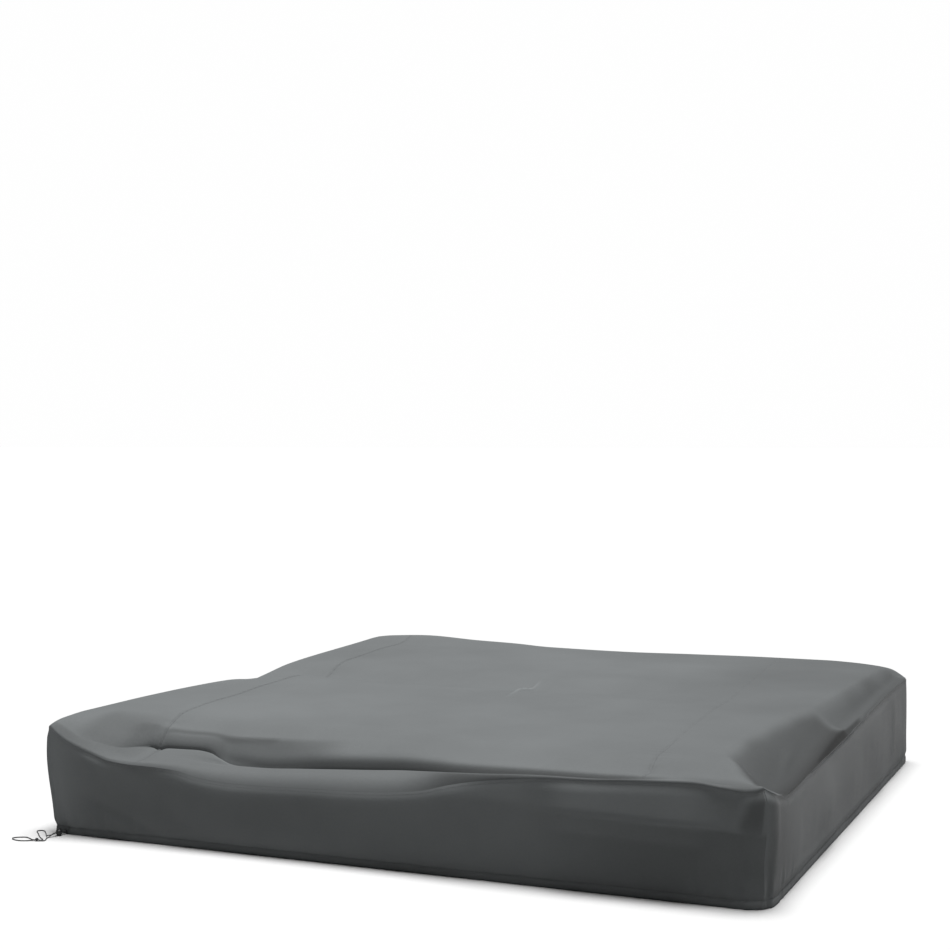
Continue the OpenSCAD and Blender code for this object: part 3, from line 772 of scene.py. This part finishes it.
corner_slack = profile([
    (-1.065, 0), (.80, 0), (.89, -.002), (.95, -.006), (.985, -.004), (1.02, .004), (1.045, .009),
    (1.065, .012)])
SKIRT_H = spaced(1.0, [0.008, 0.012, 0.018, 0.025], [0.03, 0.025, 0.02, 0.015], 0.030)
SKIRT_END_Z = HEM_H - 0.0045


def outline_normal(px, py):
    """Unit normal of the rounded outline, as its x and y."""
    nx, ny = (np.clip(np.abs(p) - HEM_C, 0, None) * np.sign(p) for p in rounded(px, py))
    length = np.hypot(nx, ny)
    return nx / length, ny / length


def outward(px, py):
    return xyz(*outline_normal(px, py), 0)


def skirt_point(px, py, h, inset=0.0):
    """A point of a skirt under the outline point (px, py): h runs from 0 at the rim to 1 in the hem."""
    top = top_point(px, py)[..., 2]
    z = top + (SKIRT_END_Z - top) * h
    # the hem is drawn in, so the corners are sharper at the rim than at the hem
    x, y = rounded(px, py, top_keep(px, py) + (hem_keep(px, py) - top_keep(px, py)) * smooth(h))
    lean = front_left_lean(px, py) * smooth((1 - h) / 0.8)
    nx, ny = outline_normal(px, py)
    tuck = 0.0022 * smooth((h - 0.90) / 0.10)
    d = swell(px, py, h, z) - tuck - inset
    return xyz(x - lean + nx * d, y - lean * 0.6 + ny * d, z)


def side_points(side):
    """Outline points of a side in counter-clockwise order, seen from above."""
    if side in ("front", "rear"):
        y = -R if side == "front" else R
        xs = np.concatenate([columns("left", y), columns("centre", y)[1:], columns("right", y)[1:]])
        return (xs, np.full_like(xs, y)) if side == "front" else (xs[::-1], np.full_like(xs, y))
    x = np.full_like(Y_LINES, -R if side == "left" else R)
    y = follow_gutter(x, Y_LINES)
    return (x, y) if side == "right" else (x, y[::-1])


SIDES = ("front", "right", "rear", "left")


def darkest(*patches):
    return np.max(np.broadcast_arrays(*patches), axis=0)


def top_painted_shade(x, y):
    """Painted shade on the top: along the gutter's foot and band, on the step, brow and flank, behind the
    front left corner, at the front rim's right end, and in the trough and slit inside the right rim.
    """
    er, ef = R - x, R + y
    up = ef - gutter_width(x)  # distance up the flank from the gutter's foot
    lobes = 0.006 * np.sin(2 * np.pi * y / 0.31 + 0.6) + 0.008 * waves(x, y, 0.20, 33)
    near_rim = smooth((0.17 - er) / 0.14)
    reach = window(y, -0.95, -0.03, 0.10) * (0.40 + 0.30 * near_rim + 0.22 * smooth((0.075 - er) / 0.05))
    reach = np.maximum(reach, window(y, -0.02, 1.02, 0.12) * (0.10 + 0.36 * smooth((0.11 - er) / 0.09)))
    trough = reach * smooth((right_edge(y) + lobes - er) / 0.035)
    slit = slit_open(y) ** 0.35 * window(er, 0.002, 0.029, 0.006)
    foot = 0.62 * bell(up - 0.004, 0.007) * window(x, -0.46, 0.75, 0.15)
    step = 0.36 * smooth((up + 0.004) / 0.006) * smooth((0.040 - up) / 0.020)
    step = step * window(x, -0.81, -0.54, 0.05)
    shade = 0.28 * smooth(up / 0.01) * smooth((flank_width(x) + 0.025 - up) / 0.06)
    shade = shade * window(x, -0.55, -0.20, 0.14)
    brow = 0.45 * bell(up - flank_width(x) * 0.9, 0.010) * window(x, -0.78, -0.38, 0.06)
    band = smooth(-up / 0.01) * (0.20 + 0.32 * smooth((x - 0.04) / 0.20)) * window(x, -1.3, 0.72, 0.2)
    front_end = 0.28 * smooth((0.06 - ef) / 0.05) * smooth((x - 0.80) / 0.12)
    corner = 0.30 * window(x, -0.985, -0.80, 0.05) * window(ef, 0.02, 0.20, 0.08)
    # painted shade over the top: darker towards the right and the rear, with a random cloudy tone on its
    # right part
    broad = 0.09 * smooth((x - 0.35) / 0.5) + 0.10 * smooth((x - 0.45) / 0.4) * smooth((y + 0.5) / 0.5)
    broad = broad + 0.05 * smooth((y - 0.1) / 0.6) + 0.04 * waves(x, y, 0.7, 31) * smooth((x + 0.2) / 0.5)
    return darkest(trough, slit, foot, step, shade, brow, band, corner, front_end) * (1 - broad) + broad


def top_painted_light(x, y):
    """Painted highlights on sharp folds: the pinch in the middle, the front rim's fold and a ridge inside the
    right rim; and painted light that pales the top towards the left.
    """
    pinch = crease(x, y, (0.010, -0.11), (-0.018, 0.14), 0.006, 0.6)
    rim_fold = 0.12 * bell(R + y, 0.006) * window(x, 0.40, 0.64, 0.08)
    ridge = crease(x, y, (0.985, -0.62), (0.965, -0.40), 0.008, 0.05)
    paler_left = 0.05 * smooth((0.30 - x) / 0.6)
    return pinch + rim_fold + ridge + paler_left


def skirt_painted_shade(side, s, z):
    """Painted shade on the skirts. The right side is darker all over, more just behind its front corner,
    towards its rear and near the floor. The front is darker under the crease at its right end, in the fold
    beside its right corner, in a slanting patch low on its left and at its right corner, with a little all
    over.
    """
    if side == "right":
        along = s - 2 * R
        hem = 0.12 * smooth((0.05 - z) / 0.03) * smooth((1.9 - along) / 0.4)
        turned = (0.47 * smooth((along + 0.01) / 0.06) - 0.12) * smooth((0.38 - along) / 0.32)
        return 0.15 + turned + 0.05 * smooth((along - 1.5) / 0.5) + hem
    if side != "front":
        return 0 * z
    x = s - R
    under = smooth((0.200 - 0.02 * (x - 0.7) - z) / 0.012) * smooth((x - 0.30) / 0.6) * 0.33
    edge_left = 1.010 - 0.40 * np.clip(0.29 - z, 0, 0.08)
    edge_right = 1.068 - 0.15 * np.clip(0.29 - z, 0, 0.09)
    wedge = 0.45 * smooth((x - edge_left) / 0.03) * smooth((edge_right - x) / 0.012)
    wedge = wedge * smooth((z - 0.13) / 0.1)
    slanting = 0.150 - 0.42 * (x + 0.97) + 0.008 * np.sin(14 * x)
    low_left = 0.15 * smooth((slanting - z) / 0.025)
    low_left = low_left * smooth((x + 1.00) / 0.12) * smooth((-0.45 - x) / 0.2)
    corner = 0.08 * smooth((x - 1.03) / 0.03)
    return darkest(under, wedge, low_left, corner) + 0.02


def foot_painted_light(side, s):
    """Painted light that pales the cloth near the floor, but for the right half of the front."""
    return 0.22 - 0.22 * (side == "front") * window(s - R, -0.10, 0.94, 0.4)


def build_top(panel):
    x, y = panel_grid(panel)
    points = top_point(x, y).reshape(-1, 3)
    obj = new_mesh("top_" + panel, points, grid_faces(*x.shape), ["cover_fabric", "cover_backing"])
    flat_coords(obj, "flat", np.stack([x.ravel(), y.ravel()], axis=1))
    # painted shade and painted light, stored on the mesh for the fabric
    tint(obj, "painted_shade", top_painted_shade(x, y))
    tint(obj, "painted_light", top_painted_light(x, y))
    solidify(obj, FABRIC_T, inner_material=1)
    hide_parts("top_%s_panel" % panel)
    return obj


def build_skirt(side):
    px, py = side_points(side)
    points = skirt_point(px, py, SKIRT_H[:, None])
    obj = new_mesh("skirt_" + side, points.reshape(-1, 3), grid_faces(len(SKIRT_H), len(px), flip=True),
                   ["cover_fabric", "cover_backing"])
    z = points[..., 2]
    s = np.broadcast_to(perimeter(px, py), z.shape)
    flat_coords(obj, "flat", np.stack([s.ravel(), z.ravel()], axis=1))
    top = top_point(px, py)[:, 2]
    # painted shade along the rim seam, darkest on the right side
    rim_seam_shade = smooth((0.002 - (top - z)) / 0.002) * {"right": 0.72, "front": 0.40}.get(side, 0.2)
    tint(obj, "painted_shade", np.maximum(skirt_painted_shade(side, s, z), rim_seam_shade))
    # painted light: paler near the floor, and on the front at its left corner and under the rim right of its
    # middle
    wear_and_painted_light = 0
    if side == "front":
        under_rim = 0.19 * window(s - R, 0.18, 0.44, 0.10) * smooth((z - 0.205) / 0.025)
        wear_and_painted_light = 0.45 * bell(s, 0.10) + under_rim
    tint(obj, "painted_light", foot_painted_light(side, s) * smooth((0.10 - z) / 0.10) + wear_and_painted_light)
    solidify(obj, FABRIC_T, inner_material=1)
    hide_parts(side + "_skirt")
    return obj


tops = {panel: build_top(panel) for panel in ("left", "centre", "right")}
skirts = {side: build_skirt(side) for side in SIDES}


# ---- hem ----
HEM_ROUND = (0.45, 0.62)  # exponents of the tube's outline: inwards, up
HEM_PINCH = 0.55  # how much its stitched top edge is thinned


def hem_pinch(v):
    """Share of the tube's width that is left at a height v, from -1 to 1."""
    return 1 - HEM_PINCH * smooth((v - 0.35) / 0.65)


def hem_section():
    """Outline of the gathered hem tube, as (inwards, up) offsets."""
    a = np.linspace(0, 2 * np.pi, 22, endpoint=False)
    w, v = (np.sign(c) * np.abs(c) ** power for c, power in zip((np.cos(a), np.sin(a)), HEM_ROUND))
    return HEM_W / 2 * (1 - w * hem_pinch(v)), HEM_H / 2 * (1 + v)


def hem_face(up):
    """How far the hem's outer face lies in from its outermost line, at a height."""
    v = 2 * up / HEM_H - 1
    w = np.clip(1 - np.abs(v) ** (2 / HEM_ROUND[1]), 0, 1) ** (HEM_ROUND[0] / 2)
    return HEM_W / 2 * (1 - w * hem_pinch(v))


def hem_depth(s, inward, up):
    """Distance in from the hem's line, of a place on its tube that is inward and up in the outline."""
    return inward - hem_ripple(s) * (0.6 + 0.4 * np.sin(np.pi * up / HEM_H))


def hem_line(side):
    """The hem's line, twice as fine as the skirt's: distance round it, places and outward normals."""
    coarse = side_points(side)
    fine = np.arange(0, len(coarse[0]) - 0.9, 0.5)
    px, py = (np.interp(fine, np.arange(len(p)), p) for p in coarse)
    return (perimeter(px, py), *rounded(px, py, hem_keep(px, py)), *outline_normal(px, py))


def cut_eyelet_hole(verts, faces, radius):
    """Leaves out the faces in the eyelet's way and pulls the cut's edge onto a circle."""
    axis = np.array([*EXIT_DIR, 0])

    def from_axis(point):
        along = (point - EXIT_AT) @ axis
        return along, point - EXIT_AT - along * axis

    kept, cut = [], []
    for f in faces:
        along, off = from_axis(verts[list(f)].mean(axis=0))
        (cut if np.linalg.norm(off) < radius and abs(along) < 0.003 else kept).append(f)
    for i in {i for f in cut for i in f} & {i for f in kept for i in f}:
        along, off = from_axis(verts[i])
        verts[i] = EXIT_AT + along * axis + off * (radius / np.linalg.norm(off))
    return verts, kept


def build_hem(side):
    s, x, y, nx, ny = (a[:, None] for a in hem_line(side))
    inward, up = hem_section()
    depth = hem_depth(s, inward, up)
    lift = 0.0006 * np.clip(gathers(s + 0.013), 0, 1) * (1 - up / HEM_H) * (1 - bell(s - EXIT_S, 0.05))
    points = xyz(x - nx * depth, y - ny * depth, up + lift)
    count, around = points.shape[:2]
    verts, faces = points.reshape(-1, 3), grid_faces(count, around, close=True)
    if side == "front":
        verts, faces = cut_eyelet_hole(verts, faces, 0.0047)
    obj = new_mesh("hem_" + side, verts, faces + end_caps(count, around), ["hem_fabric"])
    first = np.diff(points[0], axis=0)
    run = np.concatenate([[0], np.cumsum(np.hypot(first[:, 0], first[:, 1]) + np.abs(first[:, 2]))])
    flat_coords(obj, "flat", grid_coords(s[:, 0], run))
    # painted light on the front's hem, away from its right half
    tint(obj, "painted_light", np.repeat(foot_painted_light(side, s) * (side == "front"), around))
    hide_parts(side + "_hem")
    return obj


hems = {side: build_hem(side) for side in SIDES}


def build_eyelet_patch():
    """A doubled piece of fabric under the eyelet, sewn on the hem's outer face."""
    low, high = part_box("eyelet_patch")
    s = EXIT_S + np.linspace(-0.012, 0.012, 25)
    up = np.linspace(float(low[2]) + 0.0008, float(high[2]), 15)
    px, py = np.where(s > 0, s - R, -R), np.where(s > 0, -R, -R - s)
    proud = 0.0009 - hem_face(up)
    x, y, nx, ny = (a[:, None] for a in (*rounded(px, py), *outline_normal(px, py)))
    verts = xyz(x + nx * proud, y + ny * proud, up).reshape(-1, 3)
    verts, faces = cut_eyelet_hole(verts, grid_faces(len(s), len(up)), 0.0049)
    obj = new_mesh("eyelet_patch_cloth", verts, faces, ["hem_fabric"])
    flat_coords(obj, "flat", grid_coords(s, up))
    solidify(obj, 0.0010)
    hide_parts("eyelet_patch")
    return obj


patch = build_eyelet_patch()


# ---- strips: bindings, tapes and seams ----
def strip(name, rows, thickness, look, uv, flip=False):
    """A thin band: rows of points across it, thickened by a vector or by one at each row."""
    count, across = rows.shape[:2]
    k = count * across
    verts = np.concatenate([rows.reshape(-1, 3), (rows + thickness).reshape(-1, 3)])
    faces = grid_faces(count, across, flip=not flip)
    faces += [tuple(k + v for v in f) for f in grid_faces(count, across, flip=flip)]
    index = np.arange(k).reshape(count, across)
    rim = [*index[0], *index[1:, -1], *index[-1, -2::-1], *index[-2:0:-1, 0]]
    for a, b in zip(rim, rim[1:] + rim[:1]):
        f = (a, b, k + b, k + a)
        faces.append(f[::-1] if flip else f)
    obj = new_mesh(name, verts, faces, [look])
    flat_coords(obj, "flat", np.concatenate([uv, uv]))
    return obj


BINDING_W, TAPE_T, TAPE_W = 0.014, 0.001, 0.022
TAPE_INSET = FABRIC_T + 0.0006  # from the fabric's outer face to a tape sewn inside it
DOWN = np.array([0, 0, -1.0])


def build_binding(side):
    px, py = side_points(side)
    fall = top_point(px, py)[:, 2] - SKIRT_END_Z
    offs = np.linspace(0.003, 0.003 + BINDING_W, 6)
    rows = np.stack([skirt_point(px, py, off / fall, inset=TAPE_INSET) for off in offs], axis=1)
    inward = -outward(px, py)[:, None, :]
    uv = grid_coords(perimeter(px, py), offs)
    obj = strip("binding_" + side, rows, inward * TAPE_T, "binding_tape", uv)
    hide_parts(side + "_rim_binding")
    return obj


bindings = {side: build_binding(side) for side in SIDES}

CORNERS = {"front_left": (-1, -1), "front_right": (1, -1), "rear_right": (1, 1), "rear_left": (-1, 1)}


def build_corner_tape(name, sx, sy):
    reach = np.linspace(-0.024, 0.024, 11)  # along the outline, 0 at the corner
    px = sx * np.where(reach < 0, R + reach, R)
    py = sy * np.where(reach > 0, R - reach, R)
    points = skirt_point(px, py, np.linspace(0.10, 0.985, 40)[:, None], inset=TAPE_INSET)
    points[..., 2] = np.minimum(points[..., 2], points[0, :, 2].min())
    uv = np.stack(np.broadcast_arrays(reach, points[..., 2]), axis=-1).reshape(-1, 2)
    inward = -outward(px, py)
    obj = strip("corner_tape_" + name, points, inward * TAPE_T, "binding_tape", uv, flip=sx * sy > 0)
    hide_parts(name + "_corner_tape")


for name, (sx, sy) in CORNERS.items():
    build_corner_tape(name, sx, sy)


def seam_rows(side, offsets, lift, y_lines):
    """Rows of points along a seam of the top, lifted off it or let in under it, and their flat places."""
    x = seam_x(side, y_lines)[:, None] + np.array(offsets)
    y = np.repeat(y_lines[:, None], len(offsets), axis=1)
    rows = top_point(x, y)
    slope = (top_point(x, y + 0.0008)[..., 2] - top_point(x, y - 0.0008)[..., 2]) / 0.0016
    steep = np.clip(np.sqrt(1 + slope ** 2), 1, 5)
    ends = smooth((R - np.abs(y) - 0.002) / 0.012)
    lift = np.array(lift)
    rows[..., 2] += np.where(lift > 0, lift * seam_stands(side, y) * ends - 0.0006 * (1 - ends), lift * steep)
    return rows, np.stack([x, y], axis=-1).reshape(-1, 2)


def build_seam_tape(side, name):
    lines = Y_LINES[np.abs(Y_LINES) < R - 0.025]
    rows, uv = seam_rows(side, np.linspace(-TAPE_W / 2, TAPE_W / 2, 9), np.full(9, -FABRIC_T - 0.0009), lines)
    obj = strip("seam_tape_" + name, rows, DOWN * TAPE_T, "binding_tape", uv, flip=True)
    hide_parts(name + "_top_seam_tape")
    return obj


TOP_SEAMS = ((LEFT, "left"), (RIGHT, "right"))
seam_tapes = [build_seam_tape(side, name) for side, name in TOP_SEAMS]
FELL_T = 0.0006
FELL_OFFSETS = [-0.0050, -0.0044, -0.0036, -0.0015, 0.0015, 0.0036, 0.0044, 0.0050]
FELL_LIFT = [-0.0004, 0.0007, 0.0010, 0.0010, 0.0010, 0.0009, 0.0006, -0.0004]


def build_fell(side, name):
    """The felled seam on the outside: a flat folded allowance, 9 mm wide."""
    rows, uv = seam_rows(side, FELL_OFFSETS, FELL_LIFT, np.linspace(-R + 0.004, R - 0.004, 520))
    obj = strip("felled_seam_" + name, rows, DOWN * FELL_T, "cover_fabric", uv, flip=True)
    # the same painted shade as the top under it
    tint(obj, "painted_shade", top_painted_shade(*np.concatenate([uv, uv]).T))
    return obj


fells = [build_fell(side, name) for side, name in TOP_SEAMS]

# ---- stitches ----
STITCH_PITCH, STITCH_LENGTH, THREAD_R = 0.0042, 0.0032, 0.00032
# rings of one stitch: place along it, rise in thread radii, thickness
STITCH_RINGS = [(-0.5, -0.9, 0.35), (-0.36, 0.1, 0.9), (0.0, 0.45, 1.0), (0.36, 0.1, 0.9), (0.5, -0.9, 0.35)]
STITCH_SIDES = 6


def stitches(name, line, normal):
    """Threads that lie along a line on the cloth, one after another, dipping in at both ends."""
    run = run_along(line)
    count = int(run[-1] / STITCH_PITCH)
    mid = (np.arange(count) + 0.5) * STITCH_PITCH

    def at(d, a):
        return np.stack([np.interp(d, run, a[:, k]) for k in range(3)], axis=1)

    centre, up = at(mid, line), unit_rows(at(mid, normal))
    along = unit_rows(at(mid + STITCH_LENGTH / 2, line) - at(mid - STITCH_LENGTH / 2, line))
    across = np.cross(along, up)
    points = []
    for place, rise, wide in STITCH_RINGS:
        ring = centre + along * (place * STITCH_LENGTH) + up * (rise * THREAD_R)
        for a in 2 * np.pi * np.arange(STITCH_SIDES) / STITCH_SIDES:
            points.append(ring + THREAD_R * wide * (np.cos(a) * across + np.sin(a) * up))
    one = grid_faces(len(STITCH_RINGS), STITCH_SIDES, close=True) + end_caps(len(STITCH_RINGS), STITCH_SIDES)
    faces = [tuple(k * len(points) + v for v in f) for k in range(count) for f in one]
    obj = new_mesh(name, np.stack(points, axis=1).reshape(-1, 3), faces, ["thread"])
    return obj


def top_normals(x, y, d=0.002):
    a = top_point(x + d, y) - top_point(x - d, y)
    b = top_point(x, y + d) - top_point(x, y - d)
    return unit_rows(np.cross(a, b))


for side, name in TOP_SEAMS:
    y = np.linspace(-R + 0.012, R - 0.012, 900)
    for off, tag in ((-0.0031, "a"), (0.0031, "b")):
        x = seam_x(side, y) + off
        normals = top_normals(x, y)
        stands = 0.00005 + 0.0010 * seam_stands(side, y)[:, None]
        line = top_point(x, y) + normals * stands
        stitches("seam_stitch_%s_%s" % (name, tag), line, normals)

RIM_STITCH_DEPTH, HEM_STITCH_DEPTH = 0.007, 0.0032  # below the rim, below the hem's top edge
for side in SIDES:
    px, py = side_points(side)
    normals = outward(px, py)
    line = skirt_point(px, py, RIM_STITCH_DEPTH / (top_point(px, py)[:, 2] - SKIRT_END_Z)) + normals * 0.0001
    stitches("rim_stitch_" + side, line[3:-3], normals[3:-3])
    s, x, y, nx, ny = hem_line(side)
    up = HEM_H - HEM_STITCH_DEPTH
    inward, rise = hem_section()
    d = hem_depth(s, np.interp(up, rise[:6], inward[:6]), up)
    line = xyz(x - nx * d, y - ny * d, up)
    stitches("hem_stitch_" + side, line[2:-2], xyz(nx, ny, 0)[2:-2])

# ---- care label ----
low, high = (np.array(c, float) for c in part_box("care_label"))
x = np.linspace(low[0], high[0], 10)
z = np.linspace(low[2], high[2], 16)
sag = 0.004 * (1 - (z[:, None] - low[2]) / (high[2] - low[2])) ** 1.5 * (1 + 0.3 * np.sin(60 * x))
label = strip("care_label_tag", xyz(x, high[1] - sag, z[:, None]), np.array([0, -0.0004, 0]), "label",
              grid_coords(z, x)[:, ::-1], flip=True)
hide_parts("care_label")

# ---- cord lock ----
LOCK_REACH = 0.027  # from the eyelet to the lock's middle
LOCK_AT = np.array([*(EXIT_POINT + LOCK_REACH * EXIT_DIR), CORD_Z])
LATHE_STEPS = 64


def clean(mesh, weld=False):
    """Turns a mesh's normals outwards, and may first weld the points that lie together."""
    bm = bmesh.new()
    bm.from_mesh(mesh)
    if weld:
        bmesh.ops.remove_doubles(bm, verts=bm.verts, dist=1e-7)
        bmesh.ops.dissolve_degenerate(bm, edges=bm.edges, dist=1e-8)
    bmesh.ops.recalc_face_normals(bm, faces=bm.faces)
    bm.to_mesh(mesh)
    bm.free()


def lathe(name, outline):
    """A solid of revolution about the cord lock's axis: outline is a closed loop of (radius, height)."""
    verts = [(r * np.cos(t), r * np.sin(t), z)
             for t in 2 * np.pi * np.arange(LATHE_STEPS) / LATHE_STEPS for r, z in outline]
    m = len(outline)
    faces = []
    for i in range(LATHE_STEPS):
        k = (i + 1) % LATHE_STEPS
        for j in range(m):
            after = (j + 1) % m
            if outline[j][0] or outline[after][0]:  # not the part on the axis
                faces.append((i * m + j, k * m + j, k * m + after, i * m + after))
    mesh = bpy.data.meshes.new(name)
    mesh.from_pydata(verts, [], faces)
    clean(mesh, weld=True)
    mesh.materials.append(MATERIALS["lock_plastic"])
    return link(bpy.data.objects.new(name, mesh))


def arc(cx, cz, r, start, end, steps):
    t = np.radians(np.linspace(start, end, steps))
    return [(cx + r * np.cos(a), cz + r * np.sin(a)) for a in t]


def heights(node):
    """Lowest and highest point of a part of the lock, from the cord's height."""
    return [float(end[2]) - CORD_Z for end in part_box(node)]


BALL_R, BARREL_R, BUTTON_R = 0.0095, 0.0046, 0.0044
FLOOR_Z = -0.008
ball_low, ball_top = heights("cord_lock_body")
top_angle = np.degrees(np.arcsin((ball_top - 0.0006) / BALL_R))
low_angle = np.degrees(np.arcsin((ball_low + 0.0006) / BALL_R))
ball_outline = (
    [(0.0, ball_low), (BALL_R * np.cos(np.radians(low_angle)) - 0.0010, ball_low)]
    + arc(0, 0, BALL_R, low_angle, -2.5, 14) + [(BALL_R - 0.00012, 0.0)]
    + arc(0, 0, BALL_R, 2.5, top_angle, 14)
    + [(BARREL_R + 0.0009, ball_top), (BARREL_R + 0.0004, ball_top), (BARREL_R, ball_top - 0.0004),
       (BARREL_R, FLOOR_Z + 0.0003), (BARREL_R - 0.0003, FLOOR_Z), (0.0, FLOOR_Z)])
button_low, button_top = heights("cord_lock_button")
button_outline = (
    [(0.0, button_low), (BUTTON_R - 0.0003, button_low), (BUTTON_R, button_low + 0.0003),
     (BUTTON_R, button_top - 0.0012)] + arc(BUTTON_R - 0.0008, button_top - 0.0010, 0.0008, 0, 78, 7)
    + [(BUTTON_R - 0.0016, button_top - 0.0001), (BUTTON_R - 0.0020, button_top - 0.0004),
       (0.0, button_top - 0.0005)])
SLOT_HALF_W = STRAND_OFFSET + CORD_D / 2 + 0.00055
SLOT_REACH = 0.02


def cut_slot(obj, low, high):
    """The rounded slot for the doubled cord, right through along the lock's X."""
    r = min((high - low) / 2 - 1e-5, 0.0012)
    w = SLOT_HALF_W - r
    corners = ((w, high - r, 0), (-w, high - r, 90), (-w, low + r, 180), (w, low + r, 270))
    loop = [point for cx, cz, start in corners for point in arc(cx, cz, r, start, start + 90, 7)]
    m = len(loop)
    verts = [(end, a, b) for end in (-SLOT_REACH, SLOT_REACH) for a, b in loop]
    mesh = bpy.data.meshes.new("cutter")
    mesh.from_pydata(verts, [], grid_faces(2, m, close=True) + end_caps(2, m))
    clean(mesh)
    cutter = link(bpy.data.objects.new("cutter", mesh))
    mod = obj.modifiers.new("slot", "BOOLEAN")
    mod.operation = "DIFFERENCE"
    mod.solver = "EXACT"
    mod.object = cutter
    bpy.context.view_layer.update()
    apply_modifiers(obj)
    bpy.data.objects.remove(cutter)
    bpy.data.meshes.remove(mesh)


def place_lock_piece(obj, node, body):
    c, s = EXIT_DIR
    turn = np.array([[c, -s, 0], [s, c, 0], [0, 0, 1]])
    for v in obj.data.vertices:
        v.co = turn @ np.array(v.co) + LOCK_AT
    obj.data.polygons.foreach_set("use_smooth", [True] * len(obj.data.polygons))
    obj.data.set_sharp_from_angle(angle=np.radians(38))
    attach(obj, body)
    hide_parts(node)


lock_body = lathe("cord_lock_ball", ball_outline)
cut_slot(lock_body, -0.0020, 0.0020)
place_lock_piece(lock_body, "cord_lock_body", "cord_lock")
lock_button = lathe("cord_lock_plunger", button_outline)
cut_slot(lock_button, -0.0020, 0.0045)
place_lock_piece(lock_button, "cord_lock_button", "lock_button")

# ---- CAD pieces that keep their shape ----
KEPT = {"hem_drawcord": "cord_braid", "cord_lock_spring": "spring_steel", "cord_eyelet": "eyelet"}
for node, look in KEPT.items():
    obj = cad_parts[node]
    if not obj.material_slots:
        obj.data.materials.append(MATERIALS[look])
    for slot in obj.material_slots:
        slot.material = MATERIALS[look]

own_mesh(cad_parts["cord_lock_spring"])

# ---- floor and light ----
FLOOR_SIZE = 400
corners = [(x, y, -0.0002) for x, y in ((-1, -1), (1, -1), (1, 1), (-1, 1))]
floor = bpy.data.meshes.new("floor")
floor.from_pydata([(FLOOR_SIZE * x, FLOOR_SIZE * y, z) for x, y, z in corners], [], [(0, 1, 2, 3)])
floor.materials.append(MATERIALS["floor"])
link(bpy.data.objects.new("floor", floor))

SUN_TILT_X, SUN_TILT_Y = np.radians(1.5), np.radians(6)
sun_data = bpy.data.lights.new("overhead", "SUN")
sun_data.energy = 7.0
sun_data.angle = np.radians(30)
sun = link(bpy.data.objects.new("overhead", sun_data))
sun.rotation_euler = (-SUN_TILT_Y, SUN_TILT_X, 0)

world = bpy.data.worlds.new("studio")
bpy.context.scene.world = world
world.use_nodes = True
n = Nodes(world.node_tree)
seen = n.add("ShaderNodeLightPath").outputs["Is Camera Ray"]
ambient, backdrop = (n.add("ShaderNodeBackground", {"Color": rgb(1, 1, 1), "Strength": strength}).outputs[0]
                     for strength in (0.05, 0.995))
choice = n.add("ShaderNodeMixShader", {0: seen, 1: ambient, 2: backdrop})
n.add("ShaderNodeOutputWorld", {0: choice.outputs[0]})
bpy.context.scene.view_settings.view_transform = "Standard"
bpy.context.scene.view_settings.look = "None"
